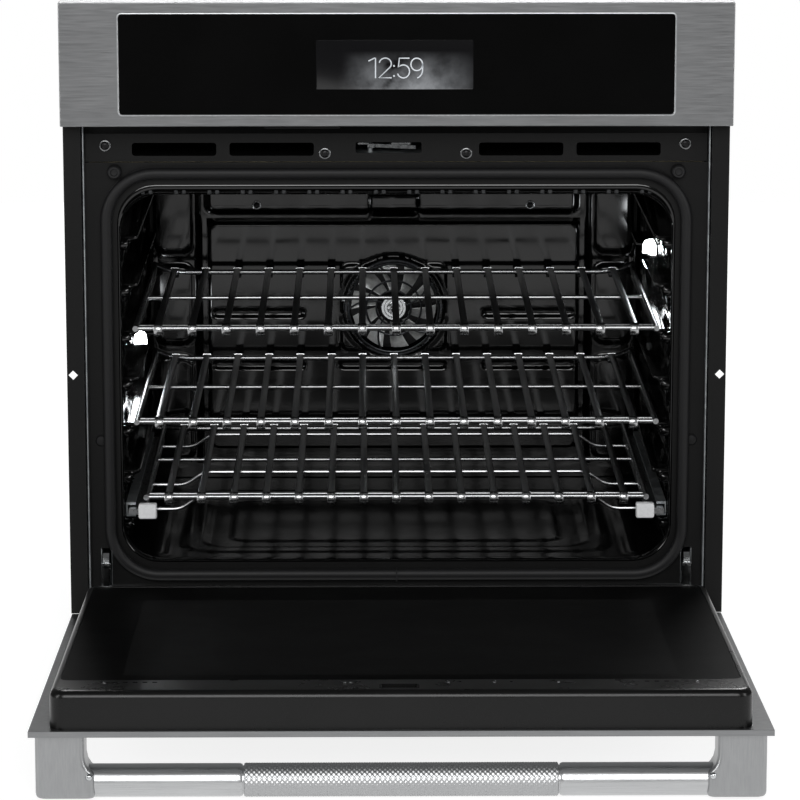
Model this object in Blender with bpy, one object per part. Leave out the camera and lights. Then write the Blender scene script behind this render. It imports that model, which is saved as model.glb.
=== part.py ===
"""Built-in single wall oven, door open, as separate closed solids. Millimetres below, metres in the scene."""
import math

import bmesh
import bpy
import numpy as np
from mathutils import Matrix, Vector

for old in list(bpy.data.objects):
    bpy.data.objects.remove(old, do_unlink=True)

# ---------------------------------------------------------------- driving dimensions, mm
FACE_WIDTH = 755.0        # control fascia, edge to edge
FACE_HEIGHT = 730.0       # base underside to top of the fascia
CHASSIS_DEPTH = 592.0     # face of the fascia to the back of the chassis
FASCIA_HEIGHT = 139.0
FASCIA_DEPTH = 36.0
SHEET = 1.5               # enamelled and plated sheet steel
DOOR_THICKNESS = 46.0
DOOR_OPEN_DEG = 87.0
DOOR_PIVOT = 8.6          # pivot behind the outer skin
DOOR_PIVOT_Z = 24.7
DOOR_BOTTOM = 8.0
GASKET_WIDTH = 14.0
GASKET_HEIGHT = 13.0
LEDGE_REACH = 24.0        # rack ledges stand this far off the cavity walls
RACK_ROD = 3.5            # radius of the rack frame wire
STRAP_WIDTH = 8.0
STRAPS = 15
CLAW_THICKNESS = 7.0
FAN_RADIUS = 55.0
BAR_RADIUS = 17.0         # handle
HANDLE_STANDOFF = 52.0    # skin to bar axis
BLOWER_RADIUS = 85.0
GLASS = 4.0
GAP = 0.4                 # clearance between neighbouring pieces

# ---------------------------------------------------------------- derived, mm
HALF = FACE_WIDTH / 2
BODY = HALF - 21.0                       # outer face of the side panels
FRAME = DOOR_THICKNESS + 14.0            # face of the front frame
FLANGE = DOOR_THICKNESS - 8.0            # face of the side trims
REAR = CHASSIS_DEPTH
CAVITY_BACK = REAR - 67.0
COVER = CAVITY_BACK - 25.0
FRONT_Y = -(FRAME + REAR + 4.0) / 2
FASCIA_Z = FACE_HEIGHT - FASCIA_HEIGHT
DOOR_TOP = FASCIA_Z - 5.0
OPEN_HALF = HALF - 58.5
OPEN_Z0 = 74.0
OPEN_Z1 = FASCIA_Z - 74.0
CAV_H = OPEN_Z1 - OPEN_Z0
WALL_X = OPEN_HALF + 3.0
FLOOR_Z = OPEN_Z0 - 4.0
CEIL_Z = OPEN_Z1 + 3.0
LEDGE_PITCH = CAV_H / 8.05
LEDGE_Z = [OPEN_Z0 + 48.7 + LEDGE_PITCH * k for k in range(7)]
LEDGE_TIP = WALL_X - LEDGE_REACH
RACK_D0 = FRAME + 17.0
RACK_D1 = COVER - 8.0
RACK_RAIL_X = LEDGE_TIP + 3.0
FAN_Z = OPEN_Z0 + CAV_H * 0.5
CLAW_X = HALF - 40.5


def P(x, d, z):
    return (x / 1000.0, (FRONT_Y + d) / 1000.0, z / 1000.0)


# ---------------------------------------------------------------- shells: (vertices in x, depth, z; faces)
def box(x0, x1, d0, d1, z0, z1):
    v = [(x, d, z) for z in (z0, z1) for d in (d0, d1) for x in (x0, x1)]
    f = [(0, 2, 3, 1), (4, 5, 7, 6), (0, 1, 5, 4), (2, 6, 7, 3), (0, 4, 6, 2), (1, 3, 7, 5)]
    return v, f


def prism(outline, axis, lo, hi):
    """Extrude a closed outline along X, D or Z. The outline gives the two other coordinates in x, d, z order."""
    n = len(outline)
    place = {"X": lambda u, v, w: (w, u, v), "D": lambda u, v, w: (u, w, v), "Z": lambda u, v, w: (u, v, w)}[axis]
    v = [place(a, b, lo) for a, b in outline] + [place(a, b, hi) for a, b in outline]
    f = [tuple(range(n)), tuple(range(2 * n - 1, n - 1, -1))]
    f += [(i, n + i, n + (i + 1) % n, (i + 1) % n) for i in range(n)]
    return v, f


def rounded(u0, u1, v0, v1, r, n=6):
    pts = []
    for cu, cv, a0 in ((u1 - r, v1 - r, 0), (u0 + r, v1 - r, 90), (u0 + r, v0 + r, 180), (u1 - r, v0 + r, 270)):
        for i in range(n + 1):
            a = math.radians(a0 + 90.0 * i / n)
            pts.append((cu + r * math.cos(a), cv + r * math.sin(a)))
    return pts


def disc(cu, cv, r, n=24, turn=0.0):
    return [(cu + r * math.cos(2 * math.pi * i / n + turn), cv + r * math.sin(2 * math.pi * i / n + turn)) for i in range(n)]


def cyl(axis, cu, cv, r, lo, hi, n=24):
    return prism(disc(cu, cv, r, n), axis, lo, hi)


def revolve(profile, axis, cu, cv, n=32):
    """Turn a closed profile of (radius, along) about an axis through cu, cv; radii above zero."""
    m = len(profile)
    place = {"X": lambda u, v, w: (w, u, v), "D": lambda u, v, w: (u, w, v), "Z": lambda u, v, w: (u, v, w)}[axis]
    v, f = [], []
    for i in range(n):
        a = 2 * math.pi * i / n
        v += [place(cu + r * math.cos(a), cv + r * math.sin(a), w) for r, w in profile]
    for i in range(n):
        j = (i + 1) % n
        f += [(i * m + k, j * m + k, j * m + (k + 1) % m, i * m + (k + 1) % m) for k in range(m)]
    return v, f


def turned(profile, axis, cu, cv, n=32):
    """Turn an open profile of (radius, along) whose two ends are capped with flat discs."""
    m = len(profile)
    v, f = revolve(profile, axis, cu, cv, n)
    f = [q for k, q in enumerate(f) if k % m != m - 1]
    f.append(tuple(i * m for i in range(n)))
    f.append(tuple(i * m + m - 1 for i in reversed(range(n))))
    return v, f


def tube(path, r, n=8):
    """Sweep a round wire along a polyline with mitred corners and flat ends."""
    p = [Vector(q) for q in path]
    runs = [(q - p[i]).normalized() for i, q in enumerate(p[1:])]
    up = Vector((0, 0, 1)) if abs(runs[0].z) < 0.9 else Vector((1, 0, 0))
    side = runs[0].cross(up).normalized()
    up = side.cross(runs[0])
    ring = [(side * math.cos(a) + up * math.sin(a)) * r for a in (2 * math.pi * (k + 0.5) / n for k in range(n))]
    v, f = [tuple(p[0] + o) for o in ring], []
    for q, u, w in zip(p[1:-1], runs, runs[1:]):
        t = (u + w).normalized()
        ring = [o - u * (o.dot(t) / u.dot(t)) for o in ring]
        v += [tuple(q + o) for o in ring]
        ring = [o - w * o.dot(w) for o in ring]
    v += [tuple(p[-1] + o) for o in ring]
    for i in range(len(p) - 1):
        f += [(i * n + k, i * n + (k + 1) % n, (i + 1) * n + (k + 1) % n, (i + 1) * n + k) for k in range(n)]
    f.append(tuple(reversed(range(n))))
    f.append(tuple((len(p) - 1) * n + k for k in range(n)))
    return v, f


def mirror(shell):
    return [(-x, d, z) for x, d, z in shell[0]], shell[1]


def both(shell):
    return [shell, mirror(shell)]


def swing(shell):
    """Take a shell drawn on the closed door to the open door."""
    a = math.radians(DOOR_OPEN_DEG)
    c, s = math.cos(a), math.sin(a)
    out = []
    for x, d, z in shell[0]:
        y, h = d - DOOR_PIVOT, z - DOOR_PIVOT_Z
        out.append((x, DOOR_PIVOT + y * c - h * s, DOOR_PIVOT_Z + y * s + h * c))
    return out, shell[1]


# ---------------------------------------------------------------- objects
MATERIALS = {}


def material(name, colour, metal, rough, trans=0.0):
    if name not in MATERIALS:
        m = bpy.data.materials.new(name)
        m.use_nodes = True
        b = m.node_tree.nodes["Principled BSDF"]
        b.inputs["Base Color"].default_value = (*colour, 1)
        b.inputs["Metallic"].default_value = metal
        b.inputs["Roughness"].default_value = rough
        b.inputs["Transmission Weight"].default_value = trans
        m.diffuse_color = (*colour, 1)
        MATERIALS[name] = m
    return MATERIALS[name]


def mesh_of(name, shells, door):
    bm = bmesh.new()
    for shell in shells:
        v, f = swing(shell) if door else shell
        vs = [bm.verts.new(P(*q)) for q in v]
        new = [bm.faces.new([vs[i] for i in q]) for q in f]
        bmesh.ops.recalc_face_normals(bm, faces=new)
        if sum((q.calc_center_median() - Vector(P(*v[0]))).dot(q.normal) * q.calc_area() for q in new) < 0:
            bmesh.ops.reverse_faces(bm, faces=new)
    me = bpy.data.meshes.new(name)
    bm.to_mesh(me)
    bm.free()
    ob = bpy.data.objects.new(name, me)
    bpy.context.scene.collection.objects.link(ob)
    return ob


def make(name, mat, start, steps=(), door=False, bevel=None):
    """One node: start shells, then joins and cuts in turn, then an optional bevel of (width, segments)."""
    ob = mesh_of(name, start, door)
    ob.data.materials.append(mat)
    if bevel:
        b = ob.modifiers.new("edge", "BEVEL")
        b.width, b.segments, b.limit_method, b.angle_limit = bevel[0] / 1000.0, bevel[1], "ANGLE", math.radians(40)
    for k, (kind, shells) in enumerate(steps):
        tool = mesh_of(f"{name}_tool{k}", shells, door)
        tool.hide_render = True
        tool.display_type = "WIRE"
        m = ob.modifiers.new(f"{kind.lower()}{k}", "BOOLEAN")
        m.operation, m.solver, m.object = kind, "EXACT", tool
    return ob


CUT, JOIN = "DIFFERENCE", "UNION"
steel = material("brushed_steel", (0.55, 0.55, 0.56), 1.0, 0.3)
plate = material("galvanised_steel", (0.45, 0.46, 0.47), 0.9, 0.45)
enamel = material("black_enamel", (0.012, 0.012, 0.013), 0.0, 0.12)
black = material("black_painted_steel", (0.02, 0.02, 0.022), 0.3, 0.4)
glass_black = material("black_glass", (0.01, 0.01, 0.012), 0.0, 0.05)
glass_clear = material("clear_glass", (0.5, 0.52, 0.52), 0.0, 0.03, 0.8)
rubber = material("silicone_rubber", (0.05, 0.05, 0.055), 0.0, 0.8)
chrome = material("chrome", (0.75, 0.75, 0.76), 1.0, 0.12)
wire = material("nickel_wire", (0.6, 0.6, 0.6), 1.0, 0.2)
wool = material("mineral_wool", (0.55, 0.5, 0.38), 0.0, 0.95)
plastic = material("black_plastic", (0.03, 0.03, 0.03), 0.0, 0.5)
board = material("circuit_board", (0.03, 0.16, 0.06), 0.0, 0.5)
element = material("element_sheath", (0.12, 0.11, 0.1), 0.8, 0.5)

# ---------------------------------------------------------------- chassis
S = SHEET
make("base_pan", plate, [box(-BODY + 4, BODY - 4, FRAME + 4, REAR - 4.5, 0, 20)],
     [(CUT, [box(-BODY + 4 + S, BODY - 4 - S, FRAME + 4 + S, REAR - 4.5 - S, S, 30)]),
      (CUT, [box(x - 25, x + 25, REAR - 120 - 20 * k, REAR - 114 - 20 * k, -5, 10)
             for x in (-150, 150) for k in range(3)])])
for tag, flip in (("left", mirror), ("right", lambda s: s)):
    make(f"side_panel_{tag}", plate, [flip(box(BODY - S + 0.3, BODY, FRAME - 12, REAR, 0, FACE_HEIGHT - 9.8))],
         [(CUT, [flip(prism(rounded(REAR - 110 - 40 * k, REAR - 96 - 40 * k, FACE_HEIGHT - 130, FACE_HEIGHT - 50, 6, 3), "X",
                            BODY - 10, BODY + 10)) for k in range(4)])])
make("rear_panel", plate, [box(-BODY + S, BODY - S, REAR - 3.5, REAR - 3.5 + S, 24, FACE_HEIGHT - 10)],
     [(CUT, [box(-120, 120, REAR - 10, REAR + 10, FACE_HEIGHT - 90 + 12 * k, FACE_HEIGHT - 84 + 12 * k) for k in range(5)]
       + [cyl("D", -HALF + 117.5, FACE_HEIGHT - 80, 16, REAR - 10, REAR + 10)])])
make("top_cover", plate, [box(-BODY + 0.5, BODY - 0.5, FLANGE + 4, REAR, FACE_HEIGHT - 9.5, FACE_HEIGHT - 8)],
     [(CUT, [box(-200 + 60 * k, -160 + 60 * k, REAR - 60, REAR - 52, FACE_HEIGHT - 20, FACE_HEIGHT) for k in range(7)])])

opening = rounded(-OPEN_HALF, OPEN_HALF, OPEN_Z0, OPEN_Z1, 44, 6)
lip = rounded(-OPEN_HALF - S, OPEN_HALF + S, OPEN_Z0 - S, OPEN_Z1 + S, 45.5, 6)
make("front_frame", black, [box(-HALF + 22.5, HALF - 22.5, FRAME, FRAME + 2, 24, FASCIA_Z - 48.5)],
     [(JOIN, [prism(lip, "D", FRAME + 1, FRAME + 12)]),
      (CUT, [prism(opening, "D", FRAME - 5, FRAME + 20)]),
      (CUT, both(box(CLAW_X - 6.5, CLAW_X + 6.5, FRAME - 5, FRAME + 10, 36, 91)))])
for tag, flip in (("left", mirror), ("right", lambda s: s)):
    make(f"side_trim_{tag}", black, [flip(box(HALF - 19.5, HALF, FLANGE, FLANGE + 2, 18.4, FACE_HEIGHT - 2))],
         [(JOIN, [flip(box(HALF - 19.5, HALF - 17.7, FLANGE + 1, FLANGE + 57, 18.4, FACE_HEIGHT - 2))]),
          (CUT, [flip(prism(disc(HALF - 7, z, 5.5, 4), "D", FLANGE - 5, FLANGE + 8)) for z in (300,)]
                + [flip(prism(disc(HALF - 7, FACE_HEIGHT - 40, 5.5, 4), "D", FLANGE - 5, FLANGE + 8))])])
top = FASCIA_Z - 1
strip = [(FRAME, FASCIA_Z - 47.5), (FRAME, FASCIA_Z - 15.5), (FRAME - 12, top), (FRAME - 10, top),
         (FRAME + S, FASCIA_Z - 14.9), (FRAME + S, FASCIA_Z - 47.5)]
slots = [(205, 301), (94, 190)]
make("air_outlet_strip", black, [prism(strip, "X", -HALF + 23.5, HALF - 23.5)],
     [(CUT, [s for a, b in slots for s in both(prism(rounded(a / 377.5 * HALF, b / 377.5 * HALF, FASCIA_Z - 41, FASCIA_Z - 26, 3, 2), "D",
                                                     FRAME - 6, FRAME + 8))]
       + [prism(rounded(-46.5, 28.6, FASCIA_Z - 38, FASCIA_Z - 25.5, 2, 2), "D", FRAME - 6, FRAME + 8)])])

# ---------------------------------------------------------------- cavity
D0 = FRAME + 2.5
make("cavity_ceiling", enamel, [box(-WALL_X + GAP, WALL_X - GAP, D0, CAVITY_BACK - GAP, CEIL_Z, CEIL_Z + S)])
make("cavity_floor", enamel, [box(-WALL_X + GAP, WALL_X - GAP, D0, CAVITY_BACK - GAP, FLOOR_Z - S, FLOOR_Z)],
     [(JOIN, [prism(rounded(-WALL_X + 70, WALL_X - 70, D0 + 60, CAVITY_BACK - 80, 40, 5), "Z", FLOOR_Z - 0.5, FLOOR_Z + 1.5)])])
ledge = [(WALL_X + 0.7, 0), (LEDGE_TIP + 1, 0), (LEDGE_TIP, -2), (LEDGE_TIP, -4), (WALL_X + 0.7, -13)]
for tag, flip in (("left", mirror), ("right", lambda s: s)):
    ribs = []
    for z in LEDGE_Z:
        v, f = prism([(x, z + h) for x, h in ledge], "D", RACK_D0 + 14, RACK_D1 - 14)
        ribs.append(flip((v, f)))
    make(f"cavity_wall_{tag}", enamel, [flip(box(WALL_X, WALL_X + S, D0, CAVITY_BACK + S, FLOOR_Z - S, CEIL_Z + S))],
         [(JOIN, ribs)])
ring_r = CAV_H * 0.185
legs = [(k * ring_r * math.sin(math.radians(18)), FAN_Z - ring_r * math.cos(math.radians(18))) for k in (-1, 1)]
make("cavity_back", enamel, [box(-WALL_X + GAP, WALL_X - GAP, CAVITY_BACK, CAVITY_BACK + S, FLOOR_Z - S, CEIL_Z + S)],
     [(CUT, [cyl("D", 0, FAN_Z, 9, CAVITY_BACK - 5, CAVITY_BACK + 8, 16)]
       + [cyl("D", x, z, 6.5, CAVITY_BACK - 5, CAVITY_BACK + 8, 12) for x, z in legs]
       + [cyl("D", x, CEIL_Z - 15, 6.5, CAVITY_BACK - 5, CAVITY_BACK + 8, 12) for x in (-40, 40)]
       + [cyl("D", -180, CEIL_Z - 50, 5, CAVITY_BACK - 5, CAVITY_BACK + 8, 12)])])
cw = OPEN_HALF - 82
cover_z0, cover_z1 = OPEN_Z0 + 36, OPEN_Z0 + CAV_H * 0.752
make("fan_cover", enamel, [prism(rounded(-cw, cw, cover_z0, cover_z1, 14, 4), "D", COVER, CAVITY_BACK - 2)],
     [(CUT, [prism(rounded(-cw + S, cw - S, cover_z0 + S, cover_z1 - S, 12.5, 4), "D", COVER + S, CAVITY_BACK + 10)]),
      (CUT, [cyl("D", 0, FAN_Z, FAN_RADIUS + 4.5, COVER - 5, COVER + 8, 32)]
       + [s for k in range(7) for z in (FAN_Z - 9, FAN_Z - 75)
          for s in both(box(115 + 15 * k, 124 + 15 * k, COVER - 5, COVER + 8, z, z + 7))]),
      (JOIN, [revolve([(42, COVER + 0.1), (45, COVER + 0.1), (45, COVER + 1.4), (42, COVER + 1.4)], "D", 0, FAN_Z, 32),
              cyl("D", 0, FAN_Z, 14, COVER + 0.1, COVER + 1.4, 20)]),
      (JOIN, [box(-FAN_RADIUS - 8, -8, COVER + 0.2, COVER + 1.3, FAN_Z - 2, FAN_Z + 2),
              box(8, FAN_RADIUS + 8, COVER + 0.2, COVER + 1.3, FAN_Z - 2, FAN_Z + 2),
              box(-2, 2, COVER + 0.2, COVER + 1.3, FAN_Z + 8, FAN_Z + FAN_RADIUS + 8),
              box(-2, 2, COVER + 0.2, COVER + 1.3, FAN_Z - FAN_RADIUS - 8, FAN_Z - 8)])])
gz0, gz1, gx = OPEN_Z0 - 20.5, OPEN_Z1 + 21, OPEN_HALF + 19.5
make("door_gasket", rubber, [prism(rounded(-gx, gx, gz0, gz1, 63, 8), "D", FRAME - 0.3 - GASKET_HEIGHT, FRAME - 0.3)],
     [(CUT, [prism(rounded(-gx + GASKET_WIDTH, gx - GASKET_WIDTH, gz0 + GASKET_WIDTH, gz1 - GASKET_WIDTH, 63 - GASKET_WIDTH, 8),
                   "D", FRAME - 30, FRAME + 10)])])
wx = WALL_X + 5
outer = [(-BODY + 5.5, 105), (-BODY + 5.5, CEIL_Z + 25), (BODY - 5.5, CEIL_Z + 25), (BODY - 5.5, 105),
         (wx, 105), (wx, CEIL_Z + 4.5), (-wx, CEIL_Z + 4.5), (-wx, 105)]
make("insulation_blanket", wool, [prism(outer, "D", FRAME + 6, CAVITY_BACK - 4)])

ring = [(ring_r * math.sin(math.radians(a)), COVER + 12, FAN_Z - ring_r * math.cos(math.radians(a))) for a in np.linspace(18, 342, 25)]
path = [(ring[0][0], CAVITY_BACK + 18, ring[0][2])] + [(ring[0][0], COVER + 16, ring[0][2])] + ring[1:-1] \
    + [(ring[-1][0], COVER + 16, ring[-1][2])] + [(ring[-1][0], CAVITY_BACK + 18, ring[-1][2])]
make("convection_element", element, [tube(path, 3.5, 8)])
bz = CEIL_Z - 15
zig = [(-40, CAVITY_BACK + 20), (-40, CAVITY_BACK - 60), (-220, CAVITY_BACK - 60), (-220, FRAME + 60), (-150, FRAME + 60),
       (-150, CAVITY_BACK - 120), (-75, CAVITY_BACK - 120), (-75, FRAME + 60), (75, FRAME + 60), (75, CAVITY_BACK - 120),
       (150, CAVITY_BACK - 120), (150, FRAME + 60), (220, FRAME + 60), (220, CAVITY_BACK - 60), (40, CAVITY_BACK - 60),
       (40, CAVITY_BACK + 20)]
make("broil_element", element, [tube([(x, d, bz) for x, d in zig], 4, 8)])
zag = [(-30, CAVITY_BACK - 25), (-30, CAVITY_BACK - 50), (-210, CAVITY_BACK - 50), (-210, FRAME + 56), (-130, FRAME + 56),
       (-130, CAVITY_BACK - 115), (-55, CAVITY_BACK - 115), (-55, FRAME + 56), (55, FRAME + 56), (55, CAVITY_BACK - 115),
       (130, CAVITY_BACK - 115), (130, FRAME + 56), (210, FRAME + 56), (210, CAVITY_BACK - 50), (30, CAVITY_BACK - 50),
       (30, CAVITY_BACK - 25)]
make("bake_element", element, [tube([(x, d, FLOOR_Z - 14) for x, d in zag], 4, 8)])
make("temperature_sensor", chrome, [cyl("D", -180, CEIL_Z - 50, 3, CAVITY_BACK - 85, CAVITY_BACK + 14, 12)],
     [(JOIN, [box(-192, -168, CAVITY_BACK - 2.5, CAVITY_BACK - 0.5, CEIL_Z - 65, CEIL_Z - 35)])])
for tag, flip, d, z in (("left", mirror, 366, LEDGE_Z[2] + (LEDGE_PITCH - 13) / 2), ("right", lambda s: s, 387, LEDGE_Z[4] + (LEDGE_PITCH - 13) / 2)):
    lh = 0.38 * (LEDGE_PITCH - 13)
    make(f"lamp_lens_{tag}", glass_clear, [flip(box(WALL_X - 9, WALL_X - GAP, d - 28, d + 28, z - lh, z + lh))], bevel=(3, 2))

# ---------------------------------------------------------------- convection fan and its motor
fan_d = COVER + 6
make("convection_fan", plate, [cyl("D", 0, FAN_Z, FAN_RADIUS, fan_d + 11, fan_d + 12.5, 32)],
     [(JOIN, [prism([(x * math.cos(b) - y * math.sin(b), FAN_Z + x * math.sin(b) + y * math.cos(b))
                     for x, y in ((22, -1), (FAN_RADIUS - 1, -9), (FAN_RADIUS - 1, -7), (22, 1))], "D", fan_d, fan_d + 11.5)
              for b in np.radians(np.arange(0, 360, 36))]),
      (JOIN, [cyl("D", 0, FAN_Z, 11, fan_d + 1, fan_d + 12, 20)]),
      (CUT, [cyl("D", 0, FAN_Z, 4.6, fan_d - 5, fan_d + 20, 16)])])
make("convection_motor", plate, [cyl("D", 0, FAN_Z, 34, CAVITY_BACK + 6, REAR - 10, 24)],
     [(JOIN, [cyl("D", 0, FAN_Z, 4, fan_d + 2, CAVITY_BACK + 8, 12)]),
      (JOIN, [box(-60, 60, CAVITY_BACK + 3, CAVITY_BACK + 7, FAN_Z - 12, FAN_Z + 12)])])

# ---------------------------------------------------------------- cooling air
bc, z0 = (FRAME + REAR) / 2 + 5, CEIL_Z + 28
make("cooling_blower_housing", plate, [cyl("Z", 0, bc, BLOWER_RADIUS, z0, z0 + 58, 32)],
     [(JOIN, [box(-62, 62, bc - BLOWER_RADIUS - 13, bc, z0, z0 + 58)]),
      (CUT, [cyl("Z", 0, bc, BLOWER_RADIUS - S, z0 + S, z0 + 58 - S, 32)]),
      (CUT, [box(-62 + S, 62 - S, bc - BLOWER_RADIUS - 30, bc - 40, z0 + S, z0 + 58 - S)]),
      (CUT, [cyl("Z", 0, bc, 32, z0 + 40, z0 + 70, 24)])])
wr = BLOWER_RADIUS - 27
cup = [(wr - 4, z0 + 48), (wr, z0 + 48), (wr, z0 + 4), (4.6, z0 + 4), (4.6, z0 + 20), (10, z0 + 20), (12, z0 + 6.5), (wr - 4, z0 + 6.5)]
make("cooling_blower_wheel", plate, [revolve(cup, "Z", 0, bc, 32)],
     [(CUT, [prism([(u * math.cos(b) - w * math.sin(b), bc + u * math.sin(b) + w * math.cos(b))
                    for u, w in ((wr - 10, -4), (wr + 6, -4), (wr + 6, 4), (wr - 10, 4))], "Z", z0 + 10, z0 + 42)
             for b in np.radians(np.arange(0, 360, 24))])])
make("cooling_blower_motor", black, [cyl("Z", 0, bc, 28, z0 + 60, z0 + 96, 24)],
     [(JOIN, [cyl("Z", 0, bc, 4, z0 + 12, z0 + 61, 12)]),
      (JOIN, [cyl("Z", 0, bc, 52, z0 + 58.5, z0 + 60.5, 24)])])
duct_back = bc - BLOWER_RADIUS - 13.5
dx = 306 / 377.5 * HALF
make("air_duct", plate, [box(-dx, dx, FRAME + 2.5, duct_back, CEIL_Z + 28, FASCIA_Z - 2)],
     [(CUT, [box(-63, 50, FRAME - 10, FRAME + 104, CEIL_Z, FASCIA_Z + 20)]),
      (CUT, [box(-dx + S, -63 - S, FRAME - 10, FRAME + 100, CEIL_Z + 28 + S, FASCIA_Z - 2 - S),
             box(50 + S, dx - S, FRAME - 10, FRAME + 100, CEIL_Z + 28 + S, FASCIA_Z - 2 - S)]),
      (CUT, [box(-dx + S, dx - S, FRAME + 104 + S, duct_back - S, CEIL_Z + 28 + S, FASCIA_Z - 2 - S)]),
      (CUT, [box(-dx + S, -63 - S, FRAME + 90, FRAME + 120, CEIL_Z + 28 + S, FASCIA_Z - 2 - S),
             box(50 + S, dx - S, FRAME + 90, FRAME + 120, CEIL_Z + 28 + S, FASCIA_Z - 2 - S)]),
      (CUT, [box(-60, 60, duct_back - 10, duct_back + 10, CEIL_Z + 28 + S, FASCIA_Z - 2 - S)])])

# ---------------------------------------------------------------- latch
lx, ld, lz = -30.0, FRAME + 26.0, FASCIA_Z - 34.0
make("latch_housing", plate, [box(-58, 42, FRAME + 8, FRAME + 96, lz - 8, lz - 6)],
     [(JOIN, [cyl("Z", 10, FRAME + 72, 20, lz - 7, lz + 22, 24)]),
      (JOIN, [cyl("Z", lx, ld, 3, lz - 7, lz + 6, 12)])])
a0 = math.radians(-17.4)
arm = [(8, 5), (50, 5), (53, 8), (56, 8), (56, -5), (8, -5)]
make("latch_hook", chrome, [prism([(lx + u * math.cos(a0) - w * math.sin(a0), ld + u * math.sin(a0) + w * math.cos(a0))
                                   for u, w in arm], "Z", lz, lz + 4)],
     [(JOIN, [cyl("Z", lx, ld, 9, lz, lz + 4, 20)]),
      (CUT, [cyl("Z", lx, ld, 3.5, lz - 5, lz + 10, 16)])])

# ---------------------------------------------------------------- control head
f0 = FASCIA_Z
gxh, gz_lo, gz_hi = HALF - 66.8, f0 + 13.8, FACE_HEIGHT - 13.2
make("control_fascia", steel, [box(-HALF, HALF, 0, FASCIA_DEPTH, f0, FACE_HEIGHT)],
     [(CUT, [box(-HALF + S, HALF - S, S, FASCIA_DEPTH + 10, f0 + S, FACE_HEIGHT - S)]),
      (CUT, [prism(rounded(-gxh - 0.5, gxh + 0.5, gz_lo - 0.5, gz_hi + 0.5, 4, 3), "D", -5, 10)])], bevel=(1.0, 2))
make("control_glass", glass_black, [prism(rounded(-gxh, gxh, gz_lo, gz_hi, 3.5, 3), "D", 0.3, 0.3 + GLASS)])
hx = gxh - 5
make("control_housing", plastic, [box(-hx, hx, GLASS + 1, FASCIA_DEPTH - 2, gz_lo + 3, gz_hi - 3)],
     [(CUT, [box(-hx + 2, hx - 2, 0, FASCIA_DEPTH - 4, gz_lo + 5, gz_hi - 5)])])
make("display_module", plastic, [box(-90.3, 85.4, GLASS + 1.2, 15, f0 + 42, f0 + 97)], bevel=(1.0, 1))
make("control_board", board, [box(-170, 170, 19, 20.6, f0 + 24, f0 + 112)],
     [(JOIN, [box(-140 + 50 * k, -115 + 50 * k, 20, 27, f0 + 40, f0 + 62) for k in range(6)])])
make("conduit_gland", chrome, [cyl("D", -HALF + 117.5, FACE_HEIGHT - 80, 15, REAR - 20, REAR + 14, 24)],
     [(JOIN, [cyl("D", -HALF + 117.5, FACE_HEIGHT - 80, 22, REAR - 1.5, REAR + 3, 6)]),
      (CUT, [cyl("D", -HALF + 117.5, FACE_HEIGHT - 80, 11, REAR - 30, REAR + 30, 24)])])

# ---------------------------------------------------------------- hinges
ch = CLAW_THICKNESS / 2
claw = [(FRAME + 90, 50), (FRAME + 90, 66), (FRAME + 12, 66), (FRAME + 10, 84), (FRAME + 4, 87), (FRAME - 8, 87), (FRAME - 12, 82),
        (FRAME - 12, 43.5), (DOOR_THICKNESS - 3, 42.5), (30, 38), (13, 30), (6, 30.6), (2.8, 26.5), (2.8, 22.8), (6, 19), (12, 18.4),
        (34, 26.5), (FRAME - 6, 37), (FRAME + 16, 50)]
for tag, flip in (("left", mirror), ("right", lambda s: s)):
    make(f"hinge_receiver_{tag}", plate, [flip(box(CLAW_X - 7, CLAW_X + 7, FRAME + 4, FRAME + 104, 26, 96))],
         [(CUT, [flip(box(CLAW_X - 5.6, CLAW_X + 5.6, FRAME - 5, FRAME + 102.6, 27.4, 94.6))])])
    make(f"hinge_claw_{tag}", chrome, [flip(prism(claw, "X", CLAW_X - ch, CLAW_X + ch))])
    make(f"hinge_lock_{tag}", chrome, [flip(box(CLAW_X - ch - 1.8, CLAW_X + ch + 1.8, FRAME - 13.4, FRAME - 3, 52, 76))],
         [(CUT, [flip(box(CLAW_X - ch - 0.4, CLAW_X + ch + 0.4, FRAME - 12.4, FRAME + 10, 40, 90))]),
          (CUT, [flip(box(CLAW_X - ch - 0.4, CLAW_X + ch + 0.4, FRAME - 20, FRAME + 10, 40, 63.5))]),
          (CUT, [flip(box(CLAW_X - 20, CLAW_X + 20, FRAME - 10, FRAME + 10, 64, 90))])])

# ---------------------------------------------------------------- door, drawn closed and swung open
dw = HALF - 2
z_lo, z_hi, T = DOOR_BOTTOM, DOOR_TOP, DOOR_THICKNESS
slot = both(box(CLAW_X - 8, CLAW_X + 8, 1.8, 12, z_lo - 5, 62))
make("door_skin", steel, [box(-dw, dw, 0, 6, z_lo, z_hi)],
     [(CUT, [box(-dw + S, dw - S, S, 4.5, z_lo + S, z_hi - S)]),
      (CUT, [prism(rounded(-HALF + 38, HALF - 38, z_lo + 52, z_hi - 36, 20, 4), "D", 3, 10)]),
      (CUT, [prism(rounded(-HALF + 105, HALF - 105, z_lo + 150, z_hi - 130, 14, 4), "D", -5, 3)]),
      (CUT, slot)], door=True)
t = HALF - 22.5
make("door_liner", enamel, [prism(rounded(-t, t, z_lo + 26, z_hi - 7, 16, 4), "D", 6.4, T)],
     [(CUT, [prism(rounded(-t + S, t - S, z_lo + 26 + S, z_hi - 7 - S, 14.5, 4), "D", 0, T - S)]),
      (CUT, [prism(rounded(-t + 7.5, t - 7.5, z_lo + 40.5, z_hi - 57.5, 10, 4), "D", T - 5, T + 10)]),
      (CUT, both(box(CLAW_X - 8, CLAW_X + 8, 0, T + 10, z_lo, z_lo + 36.4))
       + [box(-20, 16, T - 10, T + 10, FASCIA_Z - 40, FASCIA_Z - 24)])], door=True)
make("door_inner_glass", glass_black, [prism(rounded(-t + 8, t - 8, z_lo + 41, z_hi - 58, 9.5, 4), "D", T - 0.5 - GLASS, T - 0.5)], door=True)
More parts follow.
